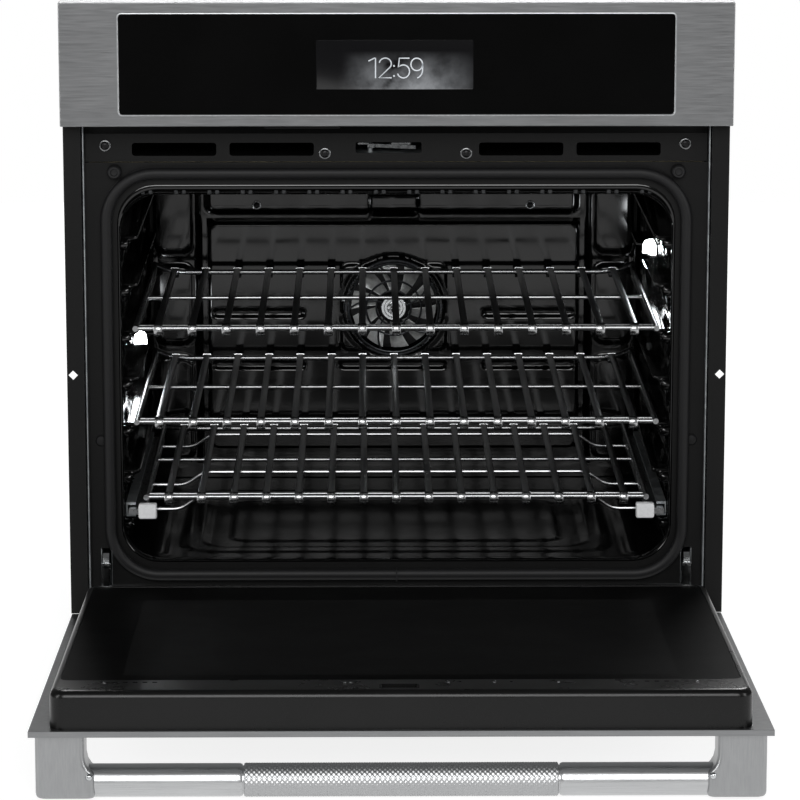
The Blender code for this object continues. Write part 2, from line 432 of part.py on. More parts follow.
mz0, mz1 = z_lo + 66, z_hi - 76
make("door_window_frame", plate, [box(-HALF + 56, HALF - 56, 7, T - GLASS - 1, mz0 - 12, mz1 + 12)],
     [(CUT, [box(-HALF + 76, HALF - 76, -5, T + 10, mz0 + 8, mz1 - 8)]),
      (CUT, [box(-HALF + 66.7, HALF - 66.7, 22.4, 27.6, mz0 - 0.7, mz1 + 0.7)])], door=True)
make("door_middle_glass", glass_clear, [box(-HALF + 67.5, HALF - 67.5, 23, 27, mz0 + 0.1, mz1 - 0.1)], door=True)
make("door_outer_glass", glass_clear, [box(-HALF + 95, HALF - 95, S + 0.4, S + 0.4 + GLASS, z_lo + 138, z_hi - 118)], door=True)
by, bz_ = -HANDLE_STANDOFF, z_hi - 33
bx = HALF - 57.9
make("handle_bar", steel, [turned([(BAR_RADIUS - 1, -bx), (BAR_RADIUS, -bx + 1), (BAR_RADIUS, -162), (BAR_RADIUS - 1.2, -161), (BAR_RADIUS - 1.2, -160),
                                   (BAR_RADIUS + 0.2, -159), (BAR_RADIUS + 0.2, 159), (BAR_RADIUS - 1.2, 160), (BAR_RADIUS - 1.2, 161),
                                   (BAR_RADIUS, 162), (BAR_RADIUS, bx - 1), (BAR_RADIUS - 1, bx)], "X", by, bz_, 28)], door=True)
for tag, flip in (("left", mirror), ("right", lambda s: s)):
    make(f"handle_bracket_{tag}", steel, [flip(box(HALF - 57.5, HALF - 7.5, by - BAR_RADIUS + 2, -0.4, bz_ - 21, bz_ + 21))],
         door=True, bevel=(5, 3))

# ---------------------------------------------------------------- bumpers
for tag, flip in (("left", mirror), ("right", lambda s: s)):
    make(f"bumper_{tag}", rubber, [flip(turned([(8.3, FRAME - 0.4), (8.3, FRAME - 10), (6.8, FRAME - 12.6)], "D", HALF - 56.5, FASCIA_Z - 58.5, 20))])


# ---------------------------------------------------------------- racks
def rack(name, z, half, d0, d1, kick):
    r = RACK_ROD
    rail = tube([(half, d0, z), (half, d1 - 26, z), (half, d1 - 6, z + kick)] if kick else [(half, d0, z), (half, d1, z)], r, 8)
    bars = [tube([(-half - 1, d, z + h), (half + 1, d, z + h)], q, 8)
            for d, h, q in ((d0 + r, 0, r), (d0 + 19, 0, 2.5), ((d0 + d1) / 2, -0.2, 3), (d1 - 22, 0, r))]
    pitch = 2 * (half - 26) / (STRAPS - 1)
    straps = [box(-half + 26 + pitch * k - STRAP_WIDTH / 2, -half + 26 + pitch * k + STRAP_WIDTH / 2, d0 - 3, d1 - 14, z + r - 1.9, z + r + 1.4)
              for k in range(STRAPS)]
    return make(name, wire, both(rail), [(JOIN, bars), (JOIN, straps)])


zs = [LEDGE_Z[k] + RACK_ROD + GAP for k in (4, 2)]
rack("rack_upper", zs[0], RACK_RAIL_X, RACK_D0, RACK_D1, 8)
rack("rack_middle", zs[1], RACK_RAIL_X, RACK_D0, RACK_D1, 8)
cz = LEDGE_Z[0]
rack("rack_lower", cz + 24.5, RACK_RAIL_X - 10, RACK_D0, RACK_D1 - 6, 0)
sx = LEDGE_TIP + 6
for tag, flip in (("left", mirror), ("right", lambda s: s)):
    make(f"slide_rail_{tag}", plate, [flip(box(sx, sx + 11, RACK_D0 + 8, RACK_D1 - 14, cz + 0.4, cz + 17))],
         [(CUT, [flip(box(sx - 5, sx + 9.5, RACK_D0 + 2, RACK_D1, cz + 3.5, cz + 14))])])
m0, m1 = cz + 5, cz + 12.5
make("slide_carriage", chrome, both(box(LEDGE_TIP - 8, sx + 8, FRAME + 12, RACK_D1 - 22, m0, m1)),
     [(JOIN, both(box(LEDGE_TIP - 20, LEDGE_TIP + 1.5, FRAME + 4, FRAME + 13, cz + 1.5, cz + 19.9))),
      (JOIN, [tube([(x, d, z) for x, d, z in ((-LEDGE_TIP + 6, e, cz + 8), (-LEDGE_TIP + 46, e, cz + 8), (-LEDGE_TIP + 66, e, cz + 15.5),
                                              (LEDGE_TIP - 66, e, cz + 15.5), (LEDGE_TIP - 46, e, cz + 8), (LEDGE_TIP - 6, e, cz + 8))], 2.5, 8)
              for e in (RACK_D0 + 10, RACK_D0 + 140, RACK_D1 - 60)])])
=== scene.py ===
import math

import bpy
import numpy as np
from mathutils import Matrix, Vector


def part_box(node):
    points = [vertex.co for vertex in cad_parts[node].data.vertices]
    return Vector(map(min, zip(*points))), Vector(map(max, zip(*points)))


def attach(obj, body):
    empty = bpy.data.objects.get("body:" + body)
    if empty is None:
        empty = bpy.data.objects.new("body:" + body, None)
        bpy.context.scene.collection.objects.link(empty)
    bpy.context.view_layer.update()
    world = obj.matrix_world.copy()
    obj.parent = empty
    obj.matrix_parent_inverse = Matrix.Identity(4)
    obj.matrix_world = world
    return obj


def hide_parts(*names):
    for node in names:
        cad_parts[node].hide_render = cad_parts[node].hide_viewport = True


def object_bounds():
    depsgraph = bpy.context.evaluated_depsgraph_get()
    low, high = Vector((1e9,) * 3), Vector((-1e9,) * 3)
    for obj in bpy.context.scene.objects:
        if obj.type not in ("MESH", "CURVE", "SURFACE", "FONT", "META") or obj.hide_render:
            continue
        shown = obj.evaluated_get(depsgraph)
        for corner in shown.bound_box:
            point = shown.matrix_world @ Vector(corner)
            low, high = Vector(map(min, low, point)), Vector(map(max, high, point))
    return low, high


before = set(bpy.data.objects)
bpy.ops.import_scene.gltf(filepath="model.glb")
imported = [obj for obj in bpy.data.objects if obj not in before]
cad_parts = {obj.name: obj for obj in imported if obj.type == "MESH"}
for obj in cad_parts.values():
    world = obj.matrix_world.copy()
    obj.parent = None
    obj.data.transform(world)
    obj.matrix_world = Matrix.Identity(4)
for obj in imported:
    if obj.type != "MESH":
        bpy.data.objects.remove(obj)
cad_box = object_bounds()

# The studio: a pale floor just under the lowest part of the open door, a white surround, one broad soft key
# from above and in front, and two tall soft boxes either side that put long highlights on the steel and the
# wires.
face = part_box("control_fascia")[0].y  # the plane of the control panel's face


def lin(colour):
    """sRGB hex text to linear red, green, blue and 1: ((c + 0.055) / 1.055) to the power 2.4 above
    0.04045."""
    c = np.array([int(colour[k:k + 2], 16) for k in (1, 3, 5)]) / 255
    return (*np.where(c > 0.04045, ((c + 0.055) / 1.055) ** 2.4, c / 12.92), 1.0)


def add(tree, kind, inputs=(), **settings):
    """One more node in a tree: its settings, then each input as a value or as a link from another node's
    socket."""
    node = tree.nodes.new(kind)
    for key, value in settings.items():
        setattr(node, key, value)
    for key, value in dict(inputs).items():
        if isinstance(value, bpy.types.NodeSocket):
            tree.links.new(value, node.inputs[key])
        else:
            node.inputs[key].default_value = value
    return node


floor_z = cad_box[0].z - 0.001
turn = np.linspace(0, 2 * math.pi, 97)[:-1]
floor_mesh = bpy.data.meshes.new("floor")
floor_mesh.from_pydata(np.stack([3.3 * np.cos(turn), 3.3 * np.sin(turn), 0 * turn + floor_z], 1).tolist(),
                       [], [list(range(96))])
floor = bpy.data.objects.new("floor", floor_mesh)
bpy.context.scene.collection.objects.link(floor)
pale = bpy.data.materials.new("pale_paper_sweep")
pale.use_nodes = True
grain = add(pale.node_tree, "ShaderNodeTexNoise", {"Scale": 3.0, "Detail": 2.0})
tint = add(pale.node_tree, "ShaderNodeMix", {"Factor": grain.outputs["Fac"], "A": lin("#8a8a8a"),
                                             "B": lin("#909090")}, data_type="RGBA")
paper = pale.node_tree.nodes["Principled BSDF"]
pale.node_tree.links.new(tint.outputs["Result"], paper.inputs["Base Color"])
paper.inputs["Roughness"].default_value = 0.9
paper.inputs["Specular IOR Level"].default_value = 0.0
# A light table: it stays white under the open door
paper.inputs["Emission Color"].default_value = (1, 1, 1, 1)
paper.inputs["Emission Strength"].default_value = 0.84
floor_mesh.materials.append(pale)

world = bpy.data.worlds.new("studio")
bpy.context.scene.world = world
world.use_nodes = True
sky = world.node_tree
sky.nodes.clear()
seen = add(sky, "ShaderNodeLightPath")
soft = add(sky, "ShaderNodeBackground", {"Color": (0.11, 0.11, 0.11, 1), "Strength": 1.0})
white = add(sky, "ShaderNodeBackground", {"Color": (1, 1, 1, 1), "Strength": 1.0})
blend = add(sky, "ShaderNodeMixShader", {0: seen.outputs["Is Camera Ray"], 1: soft.outputs[0],
                                         2: white.outputs[0]})
add(sky, "ShaderNodeOutputWorld", {"Surface": blend.outputs[0]})
for name, place, aim, size, power in (
        ("front", (-0.2, -6.0, 2.9), (0, 0, 0.35), (3.6, 2.6), 240),
        ("left", (-3.2, -2.4, 1.5), (0, -0.2, 0.35), (0.8, 2.2), 45),
        ("right", (3.2, -2.4, 1.5), (0, -0.2, 0.35), (0.8, 2.2), 45),
        ("back", (0.4, 3.6, 3.0), (0, 0.2, 0.35), (3.0, 2.0), 170)):
    lamp = bpy.data.lights.new(name, "AREA")
    lamp.shape, (lamp.size, lamp.size_y), lamp.energy = "RECTANGLE", size, power
    holder = bpy.data.objects.new(name, lamp)
    holder.location = place
    holder.rotation_euler = (Vector(aim) - Vector(place)).to_track_quat("-Z", "Y").to_euler()
    bpy.context.scene.collection.objects.link(holder)
bpy.context.scene.view_settings.view_transform = "Standard"
lens = bpy.data.cameras.new("camera")
lens.lens = 168.24
camera = bpy.data.objects.new("camera", lens)
camera.location, camera.rotation_euler = (-0.0346, face - 4.166, 1.1297), (math.radians(90 - 11.55), 0,
                                                                           math.radians(-0.524))
bpy.context.scene.collection.objects.link(camera)
bpy.context.scene.camera = camera

# The outer box: side panels, base pan, back panel and top cover, folded from hot-dip galvanised sheet steel
# and held with hex screws along the seams. Zinc sets in flat crystals, so the grey is a patchwork of dull and
# bright.


def finish(name, low, high, metal, rough, grain_mm, stretch=(1, 1, 1), bump=0.0, detail=4.0, level=0.5,
           cells=False):
    """A finish that varies over the surface: colour from low to high and roughness over rough, by a noise (or
    by cells, for crystals) grain_mm across in Object coordinates, stretched by the three factors, and raised
    by bump mm."""
    m = bpy.data.materials.new(name)
    m.use_nodes = True
    t = m.node_tree
    p = t.nodes["Principled BSDF"]
    where = add(t, "ShaderNodeTexCoord")
    laid = add(t, "ShaderNodeMapping", {"Vector": where.outputs["Object"],
                                        "Scale": tuple(1000 / grain_mm / s for s in stretch)})
    if cells:
        cell = add(t, "ShaderNodeTexVoronoi", {"Vector": laid.outputs[0], "Scale": 1.0})
        split = add(t, "ShaderNodeSeparateColor", {"Color": cell.outputs["Color"]})
        value = split.outputs[0]
    else:
        value = add(t, "ShaderNodeTexNoise", {"Vector": laid.outputs[0], "Scale": 1.0, "Detail": detail,
                                              "Roughness": 0.6}).outputs["Fac"]
        value = add(t, "ShaderNodeMapRange", {"Value": value, "From Min": 0.3,
                                              "From Max": 0.7}).outputs["Result"]
    cloud = add(t, "ShaderNodeTexNoise", {"Vector": where.outputs["Object"], "Scale": 9.0, "Detail": 2.0})
    both = add(t, "ShaderNodeMix", {"Factor": 0.3, "A": value, "B": cloud.outputs["Fac"]}, data_type="FLOAT")
    tone = add(t, "ShaderNodeMix", {"Factor": both.outputs[0], "A": lin(low), "B": lin(high)},
               data_type="RGBA")
    t.links.new(tone.outputs["Result"], p.inputs["Base Color"])
    shine = add(t, "ShaderNodeMapRange", {"Value": both.outputs[0], "To Min": rough[0], "To Max": rough[1]})
    t.links.new(shine.outputs["Result"], p.inputs["Roughness"])
    p.inputs["Metallic"].default_value = metal
    p.inputs["Specular IOR Level"].default_value = level
    if bump:
        raised = add(t, "ShaderNodeBump", {"Height": value, "Distance": bump / 1000, "Strength": 0.6})
        t.links.new(raised.outputs["Normal"], p.inputs["Normal"])
    return m


def dress(material, *nodes):
    """Puts one material on CAD nodes, in place of the plain colours they came with."""
    for n in nodes:
        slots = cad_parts[n].data.materials
        slots.clear()
        slots.append(material)


galvanised = finish("galvanised_sheet", "#7c8083", "#a9adae", 0.85, (0.32, 0.55), 9, bump=0.02, cells=True)
dress(galvanised, "base_pan", "side_panel_left", "side_panel_right", "rear_panel", "top_cover")


def rounded(u0, u1, v0, v1, r, n=6):
    """A rounded rectangle as one closed loop: each corner's centre plus r times the unit directions of its
    quarter turn."""
    a = (np.linspace(0, math.pi / 2, n)[None, :] + np.arange(4)[:, None] * math.pi / 2)
    cu = np.array([u1 - r, u0 + r, u0 + r, u1 - r])[:, None]
    cv = np.array([v1 - r, v1 - r, v0 + r, v0 + r])[:, None]
    return np.stack([(cu + r * np.cos(a)).ravel(), (cv + r * np.sin(a)).ravel()], 1)


def at(x, depth, z):
    """Millimetres across, behind the control panel's face and up, as points of the frame in metres."""
    x, depth, z = np.broadcast_arrays(np.asarray(x, float), np.asarray(depth, float), np.asarray(z, float))
    return np.stack([x / 1000, depth / 1000 + face, z / 1000], -1)


def solid(points, ring=False):
    """A closed shell over rows of closed loops: neighbours join into four-sided faces, the first and last
    rows are capped (or joined to each other for a ring), and the shell is turned outwards if its signed
    volume is negative."""
    rows, count = points.shape[:2]
    i = np.arange(rows * count).reshape(rows, count)
    i = np.concatenate([i, i[:, :1]], 1)
    if ring:
        i = np.concatenate([i, i[:1]], 0)
    quads = np.stack([i[:-1, :-1], i[:-1, 1:], i[1:, 1:], i[1:, :-1]], -1).reshape(-1, 4)
    v = points.reshape(-1, 3)
    a, b, c, d = (v[quads[:, k]] - v.mean(0) for k in range(4))
    volume = np.einsum("ij,ij->", a, np.cross(b, c)) + np.einsum("ij,ij->", a, np.cross(c, d))
    faces = [quads]
    if not ring:
        faces += [np.arange(count)[None, ::-1], (np.arange(count) + (rows - 1) * count)[None]]
    return v, [f[:, ::-1] for f in faces] if volume < 0 else faces


def loft(rows, axis="depth", n=6, ring=False):
    """A solid through rounded rectangles (low u, high u, low v, high v, corner radius, place along the
    axis)."""
    loops = np.stack([rounded(*r[:5], n) for r in rows])
    along = np.array([r[5] for r in rows], float)[:, None]
    u, v = loops[..., 0], loops[..., 1]
    return solid({"depth": at(u, along, v), "x": at(along, u, v), "z": at(u, v, along)}[axis], ring)


def turned(profile, axis, cu, cv, n=24, ring=False):
    """A lathe shape: each (radius, place along the axis) of the profile swept round the axis through (cu,
    cv)."""
    a = np.linspace(0, 2 * math.pi, n + 1)[:-1]
    r, along = np.array(profile, float).T[:, :, None]
    u, v = cu + r * np.cos(a), cv + r * np.sin(a)
    return solid({"depth": at(u, along, v), "x": at(along, u, v), "z": at(u, v, along)}[axis], ring)


def piece(name, shells, material, body, stands_for=(), sharp=35):
    """Shells become one named piece that rides on a body: smooth faces, sharp where they meet at more than
    sharp degrees."""
    faces, start = [], 0
    for v, parts in shells:
        for f in parts:
            faces += (f + start).tolist()
        start += len(v)
    mesh = bpy.data.meshes.new(name)
    mesh.from_pydata(np.concatenate([v for v, _ in shells]).tolist(), [], faces)
    mesh.polygons.foreach_set("use_smooth", [True] * len(mesh.polygons))
    mesh.set_sharp_from_angle(angle=math.radians(sharp))
    mesh.materials.append(material)
    o = bpy.data.objects.new(name, mesh)
    bpy.context.scene.collection.objects.link(o)
    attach(o, body)
    if stands_for:
        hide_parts(*stands_for)
    return o


def mirrored(shell):
    """The same shell on the other side of the middle, its faces turned round to point outwards again."""
    v, parts = shell
    return v * [-1, 1, 1], [f[:, ::-1] for f in parts]


def pair(shell):
    """A right-hand shell and its mirror image."""
    return [shell, mirrored(shell)]


def hex_screw(axis, cu, cv, seat):
    """A hex washer-head screw: a thin round washer on its seat, then a six-sided head with a turned edge."""
    return [turned([(4.6, seat), (4.6, seat + 0.5), (4.2, seat + 0.8)], axis, cu, cv, 20),
            turned([(3.5, seat + 0.7), (3.5, seat + 3.2), (3.0, seat + 3.7)], axis, cu, cv, 6)]


zinc = finish("zinc_plated_screw", "#9c9a90", "#d2cfc4", 1.0, (0.2, 0.4), 1.5, bump=0.02)
side_face, back_face, top_face = 356.5, 590, 722  # outer faces of the sheets that the screws hold
piece("cabinet_screws",
      [s for z in (60, 220, 380, 540, 680) for d in (100, 565) for q in hex_screw("x", d, z, side_face)
       for s in pair(q)]
      + [s for x in (-330, -165, 0, 165, 330) for z in (40, 700) for s in hex_screw("depth", x, z, back_face)]
      + [s for x in (-300, -100, 100, 300) for d in (70, 570) for s in hex_screw("z", x, d, top_face)],
      zinc, "chassis")

# The insulation: a blanket of pressed mineral wool wrapped round the top and sides of the cavity, a soft
# yellow-grey mat of fibres, dull and uneven, seen only where the outer box leaves a gap.
wool = finish("pressed_mineral_wool", "#8d8469", "#bfb594", 0.0, (0.85, 1.0), 2.2, stretch=(6, 6, 1),
              bump=0.9, level=0.2)
dress(wool, "insulation_blanket")

# The front of the chassis: the frame round the opening, the flanges at each side and the vented strip under
# the control panel are steel sheet with a baked black paint, nearly matt, with a very fine orange-peel
# surface.
paint = finish("baked_black_paint", "#050505", "#0a0a0a", 0.0, (0.36, 0.5), 1.6, bump=0.02, level=0.16)
dress(paint, "front_frame", "side_trim_left", "side_trim_right", "air_outlet_strip", "cooling_blower_motor")


def dome_screw(x, z, depth, r):
    """A domed screw: a bright washer ring, then a low dome, radius r cos t and height 0.45 r sin t."""
    t = np.linspace(0, 1.2, 6)
    ring = turned([(r + 1.6, depth), (r + 1.6, depth - 0.5), (r + 1.0, depth - 0.9), (r - 0.2, depth - 0.9)],
                  "depth", x, z, 28)
    dome = turned([(r, depth - 0.5)] + [(r * math.cos(q), depth - 0.7 - 0.45 * r * math.sin(q)) for q in t],
                  "depth", x, z, 28)
    return ring, dome


black_screw = finish("black_oxide_screw", "#0b0b0c", "#1c1c1d", 0.7, (0.25, 0.4), 1.2, bump=0.02)
washer = finish("oiled_black_washer", "#5c5d5e", "#7c7d7e", 0.9, (0.18, 0.3), 1.2)
heads = [dome_screw(x, z, d, 5.0) for x, z, d in ((-331.5, 562, 58.6), (329, 563.5, 58.6),
                                                  (-81.5, 552.5, 60.0), (79.5, 552.5, 60.0))]
piece("strip_screw_heads", [h[1] for h in heads], black_screw, "chassis")
piece("strip_screw_washers", [h[0] for h in heads], washer, "chassis")

# The stop buffers: two turned rubber buttons pressed into the front frame, that the closed door lands on.
# Moulded rubber is a soft dark grey with no mirror reflection and a faint bloom.
rubber = finish("moulded_silicone_rubber", "#0a0a0b", "#131314", 0.0, (0.42, 0.6), 1.3, bump=0.04, level=0.22)
button = turned([(8.3, 59.6), (8.3, 50.6), (7.6, 48.6), (6.2, 47.5), (4.2, 47.5), (3.6, 49.0), (1.0, 49.2)],
                "depth", 321, 532.5, 28)
piece("stop_buttons", pair(button), rubber, "chassis", ("bumper_left", "bumper_right"))
plug = turned([(6.5, 59.8), (6.5, 57.6), (5.2, 56.4), (1.2, 56.0)], "depth", 341, 219, 24)
piece("frame_plugs", pair(plug), rubber, "chassis")

# The door gasket: one extruded loop of silicone rubber, joined at the bottom, with a round bulb that the door
# presses and a thin lip outside it. Pairs of small grey metal marks, 38 mm apart, sit on the cavity mouth
# roll:
# a painted reflection of the rack clips in the glossy roll.
t = np.linspace(0, 2 * math.pi, 17)[:-1]
bulb_in = 7.3 + 6.6 * np.cos(t) * (1 + 0.1 * np.sin(t))
bulb_at = 53.2 - 6.4 * np.sin(t)


def shrunk(o, x=338.5, z0=53.5, z1=538, r=63):
    """The gasket's outer line moved inwards by o, with the corner centres kept."""
    return (-x + o, x - o, z0 + o, z1 - o, r - o)


lip = [(0.4, 59.6), (0.4, 57.0), (2.2, 55.6), (4.0, 57.4), (4.0, 59.6)]
reflection_marks = []
for x in np.arange(-285.0, 286.0, 38.0):
    reflection_marks += [loft([(x + e - w, x + e + w, 505.4 + q, 511 - q, 1.2, d) for w, q,
                    d in ((2.6, 0, 66), (2.6, 0, 62.6), (2.0, 0.8, 61.8))], n=4) for e in (-4.4, 4.4)]
piece("gasket_bulb", [loft([(*shrunk(o), d) for o, d in zip(bulb_in, bulb_at)], n=14, ring=True),
                      loft([(*shrunk(o), d) for o, d in lip], n=14, ring=True)],
      rubber, "chassis", ("door_gasket",), sharp=50)
seam = finish("gasket_joint", "#08080a", "#111112", 0.0, (0.5, 0.6), 1.0, bump=0.05, level=0.3)
piece("gasket_joint", [loft([(-0.8, 0.8, 53.4, 67.4, 0.6, d) for d in (58, 46.6)], n=3)], seam, "chassis")
# The grey of these marks is a painted reflection: it stands in for the highlight pairs that the rack clips
# throw on the glossy mouth roll.
clip_reflection_finish = finish("painted_clip_reflection", "#2c2d2e", "#4a4b4c", 1.0, (0.25, 0.4), 1.5)
piece("mouth_clip_reflections", reflection_marks, clip_reflection_finish, "chassis")

# The oven cavity: steel pressings coated with black vitreous enamel, fired glossy, with tiny pale specks and
# a slow ripple where the glass flowed. The side walls carry seven pressed ledges each, for the racks.
enamel = finish("black_vitreous_enamel", "#020202", "#060606", 0.0, (0.05, 0.12), 45, bump=0.10, detail=1.0,
                level=0.42)
specks = add(enamel.node_tree, "ShaderNodeTexVoronoi",
             {"Vector": enamel.node_tree.nodes["Texture Coordinate"].outputs["Object"], "Scale": 260.0})
dots = add(enamel.node_tree, "ShaderNodeMapRange",
           {"Value": specks.outputs["Distance"], "From Min": 0.08, "From Max": 0.16, "To Min": 1.0,
            "To Max": 0.0})
base = enamel.node_tree.nodes["Principled BSDF"].inputs["Base Color"]
speckled = add(enamel.node_tree, "ShaderNodeMix",
               {"Factor": dots.outputs["Result"], "A": base.links[0].from_socket, "B": lin("#1b1b1c")},
               data_type="RGBA")
enamel.node_tree.links.new(speckled.outputs["Result"], base)
dress(enamel, "cavity_ceiling")


def pressed(u, v, u0, u1, v0, v1, r, soft):
    """How far inside a rounded rectangle each point is, as 0 outside to 1 inside over soft mm, by its signed
    distance."""
    du = np.abs(u - (u0 + u1) / 2) - (u1 - u0) / 2 + r
    dv = np.abs(v - (v0 + v1) / 2) - (v1 - v0) / 2 + r
    away = np.hypot(np.maximum(du, 0), np.maximum(dv, 0)) + np.minimum(np.maximum(du, dv), 0) - r
    s = np.clip(0.5 - away / soft, 0, 1)
    return s * s * (3 - 2 * s)


def sheet(points, toward, keep=None):
    """An open sheet over a grid of points, its faces turned to look toward a direction; keep drops faces
    where it is false."""
    rows, count = points.shape[:2]
    i = np.arange(rows * count).reshape(rows, count)
    quads = np.stack([i[:-1, :-1], i[:-1, 1:], i[1:, 1:], i[1:, :-1]], -1)
    quads = quads.reshape(-1, 4) if keep is None else quads[keep]
    v = points.reshape(-1, 3)
    normal = np.cross(v[quads[:, 1]] - v[quads[:, 0]], v[quads[:, 3]] - v[quads[:, 0]]).sum(0)
    return v, [quads[:, ::-1] if normal @ np.array(toward, float) < 0 else quads]


def backed(o, mm):
    """Gives an open sheet its thickness, behind its face."""
    wall = o.modifiers.new("thickness", "SOLIDIFY")
    wall.thickness, wall.offset = mm / 1000, -1
    return o


ledges = 122.7 + 55.03 * np.arange(7)
close_lines = np.array([-16, -13.5, -12, -9, -6, -4.2, -3.2, -2, -1.2, -0.6, -0.2, 0.3, 2])
lines = np.concatenate([np.linspace(68.5, 521.5, 76)] + [k + close_lines for k in ledges])
lines = np.unique(np.round(lines, 2))
ways = np.unique(np.round(np.concatenate([np.linspace(62.5, 526, 130), np.linspace(84, 104, 11),
                                          np.linspace(464, 488, 11)]), 2))
z, d = np.meshgrid(lines, ways, indexing="ij")
rise = np.zeros_like(z)
for k in ledges:
    h = z - k
    across = np.where(h < -4, np.clip((h + 14) / 10, 0, 1) ** 0.8, np.clip(-h / 0.7, 0, 1))
    ends = np.clip((d - 88) / 9, 0, 1) * np.clip((481 - d) / 9, 0, 1)
    ends = ends * ends * (3 - 2 * ends)
    rise = np.maximum(rise, 23.6 * across * ends)
    rise = np.maximum(rise, 17 * pressed(d, z, 74, 108, k - 15, k - 1.5, 6, 5)
                      * (0.74 + 0.26 * np.cos(d / 2.6) * np.cos((z - k) / 2.2)))
quiet = 1 - np.clip(rise / 6, 0, 1)
for k in ledges[:-1] + 21:
    for c in (150, 222, 345, 418):
        rise = rise + quiet * 5.0 * pressed(d, z, c - 24, c + 24, k - 9, k + 13, 9, 7)
rise = rise + quiet * 4 * (pressed(d, z, 66, 80, 84, 508, 6, 6) + pressed(d, z, 494, 514, 84, 508, 6, 6))
for side, d0, z0 in (("right", 346, 388), ("left", 340, 276)):
    at_lamp = pressed(d, z, d0 - 36, d0 + 36, z0 - 24, z0 + 24, 10, 5)
    wall = sheet(at(321.9 - rise * (1 - at_lamp) - 2.5 * at_lamp, d, z), (-1, 0, 0))
    backed(piece("cavity_wall_pressing_" + side, [wall if side == "right" else mirrored(wall)], enamel,
                 "chassis", ("cavity_wall_" + side,), sharp=60), 1.2)

mouth = [(-318.6 + e, 318.6 - e, 74.4 + e * 0.8, 516.6 - u, 43, d) for e, u, d in
         ((0, 0, 61.6), (0.9, 2.5, 60.8), (2.4, 7, 62.2), (3.2, 11, 65.5), (3.2, 12.5, 70), (2.4, 11, 75),
          (0.6, 6, 79), (0, 0, 79.5))]
piece("cavity_mouth_roll", [loft(mouth, n=12, ring=True)], enamel, "chassis", sharp=60)

x, d = np.meshgrid(np.linspace(-321.4, 321.4, 180), np.linspace(62.5, 524.5, 120), indexing="ij")
low_gloss = finish("etched_floor_enamel", "#020202", "#060606", 0.0, (0.12, 0.2), 45, bump=0.05, detail=1.0,
                   level=0.16)
dip = 1.6 * pressed(x, d, -252, 252, 122, 445, 40, 10) - 2.4 * pressed(x, d, -226, 226, 148, 419, 26, 8) \
    + 2.0 * pressed(x, d, -196, 196, 178, 389, 20, 8) \
    + 1.5 * (pressed(x, d, -300, -272, 110, 460, 12, 8) + pressed(x, d, 272, 300, 110, 460, 12, 8))
backed(piece("cavity_floor_pressing", [sheet(at(x, d, 70.0 + dip), (0, 0, 1))], low_gloss, "chassis",
             ("cavity_floor",), sharp=60), 1.2)

x, z = np.meshgrid(np.linspace(-321.4, 321.4, 200), np.linspace(68.5, 521.5, 150), indexing="ij")
out = 5.0 * (pressed(x, z, -302, -256, 364, 500, 12, 6) + pressed(x, z, 256, 302, 364, 500, 12, 6)) \
    + 4.0 * sum(pressed(x, z, x0, x0 + 46, low, high, 12, 6) for low, high in ((246, 346), (96, 228))
                for x0 in (-302, 256)) \
    + 5.0 * (pressed(np.abs(x), z, 246, 249, 92, 498, 1.5, 3)
             + pressed(np.abs(x), z, 306, 310, 92, 498, 1.5, 4)) \
    + 4.0 * pressed(x, z, -236, 232, 416, 500, 8, 6) - 5.0 * pressed(x, z, -30, 31, 412, 437, 4, 4)
backed(piece("cavity_back_pressing", [sheet(at(x, 524.0 - out, z), (0, -1, 0))], enamel, "chassis",
             ("cavity_back",), sharp=60), 1.2)
ring_finish = finish("polished_washer", "#8d8f91", "#b4b6b8", 1.0, (0.2, 0.3), 1.5)
back_heads = [dome_screw(px, 424, 520.0, 4.2) for px in (-173, 173)]
piece("back_screw_heads", [h[1] for h in back_heads], black_screw, "chassis")
piece("back_screw_washers", [h[0] for h in back_heads], ring_finish, "chassis")

# The fan cover: an enamelled tray hung on the back wall, with pressed slots for the heated air and a round
# opening over the fan, guarded by three rings and five swept wires round a hub plate. A thin rail lies along
# the sill.
fan_z = 295.5  # height of the fan's axis
x, z = np.meshgrid(np.linspace(-237, 237, 190), np.linspace(110, 407, 122), indexing="ij")
r = np.hypot(x, z - fan_z)
near = np.abs(r - 59) < 2.6
grow = np.where(near, 59 / np.maximum(r, 1), 1)
x, z = x * grow, fan_z + (z - fan_z) * grow
tray = 1 - pressed(x, z, -235.5, 235.5, 111.5, 405.5, 13, 3.5)
groove = pressed(np.abs(np.hypot(x, z - fan_z) - 66), z * 0, -2, 2, -9, 9, 1.5, 3)
press = 2.4 * pressed(x, z, -66, 66, 241, 350, 10, 5) - 2.6 * groove
press = press - 3.2 * (pressed(np.abs(x), z, 114, 228, 284, 293, 4, 3)
                       + pressed(np.abs(x), z, 114, 228, 217, 226, 4, 3)
                       + pressed(x, z, -68, 66, 217, 226, 4, 3))
mid = (np.hypot(x[:-1, :-1] + x[1:, 1:], z[:-1, :-1] + z[1:, 1:] - 2 * fan_z) / 2) > 58.2
cover = piece("fan_cover_pressing", [sheet(at(x, 502.5 + 21 * tray - press, z), (0, -1, 0), mid)], enamel,
              "chassis", ("fan_cover",), sharp=60)
backed(cover, 1.0)


def rod(path, r, plane, sides=10, ends=True):
    """A round rod along a flat path: each ring is the path's point plus r (cos a times the plane's normal,
    plus sin a times the sideways direction, the cross product of the tangent and that normal). A rod without
    ends is a closed loop."""
    path = np.asarray(path, float)
    n = np.asarray(plane, float)
    tangent = np.gradient(path, axis=0) if ends else (np.roll(path, -1, 0) - np.roll(path, 1, 0))
    tangent = tangent / np.linalg.norm(tangent, axis=1, keepdims=True)
    side = np.cross(tangent, n)
    a = np.linspace(0, 2 * math.pi, sides + 1)[:-1]
    around = np.cos(a)[:, None] * n + np.sin(a)[:, None] * side[:, None]
    p = path[:, None] + np.asarray(r, float).reshape(-1, 1, 1) * around
    return solid(at(p[..., 0], p[..., 1], p[..., 2]), not ends)


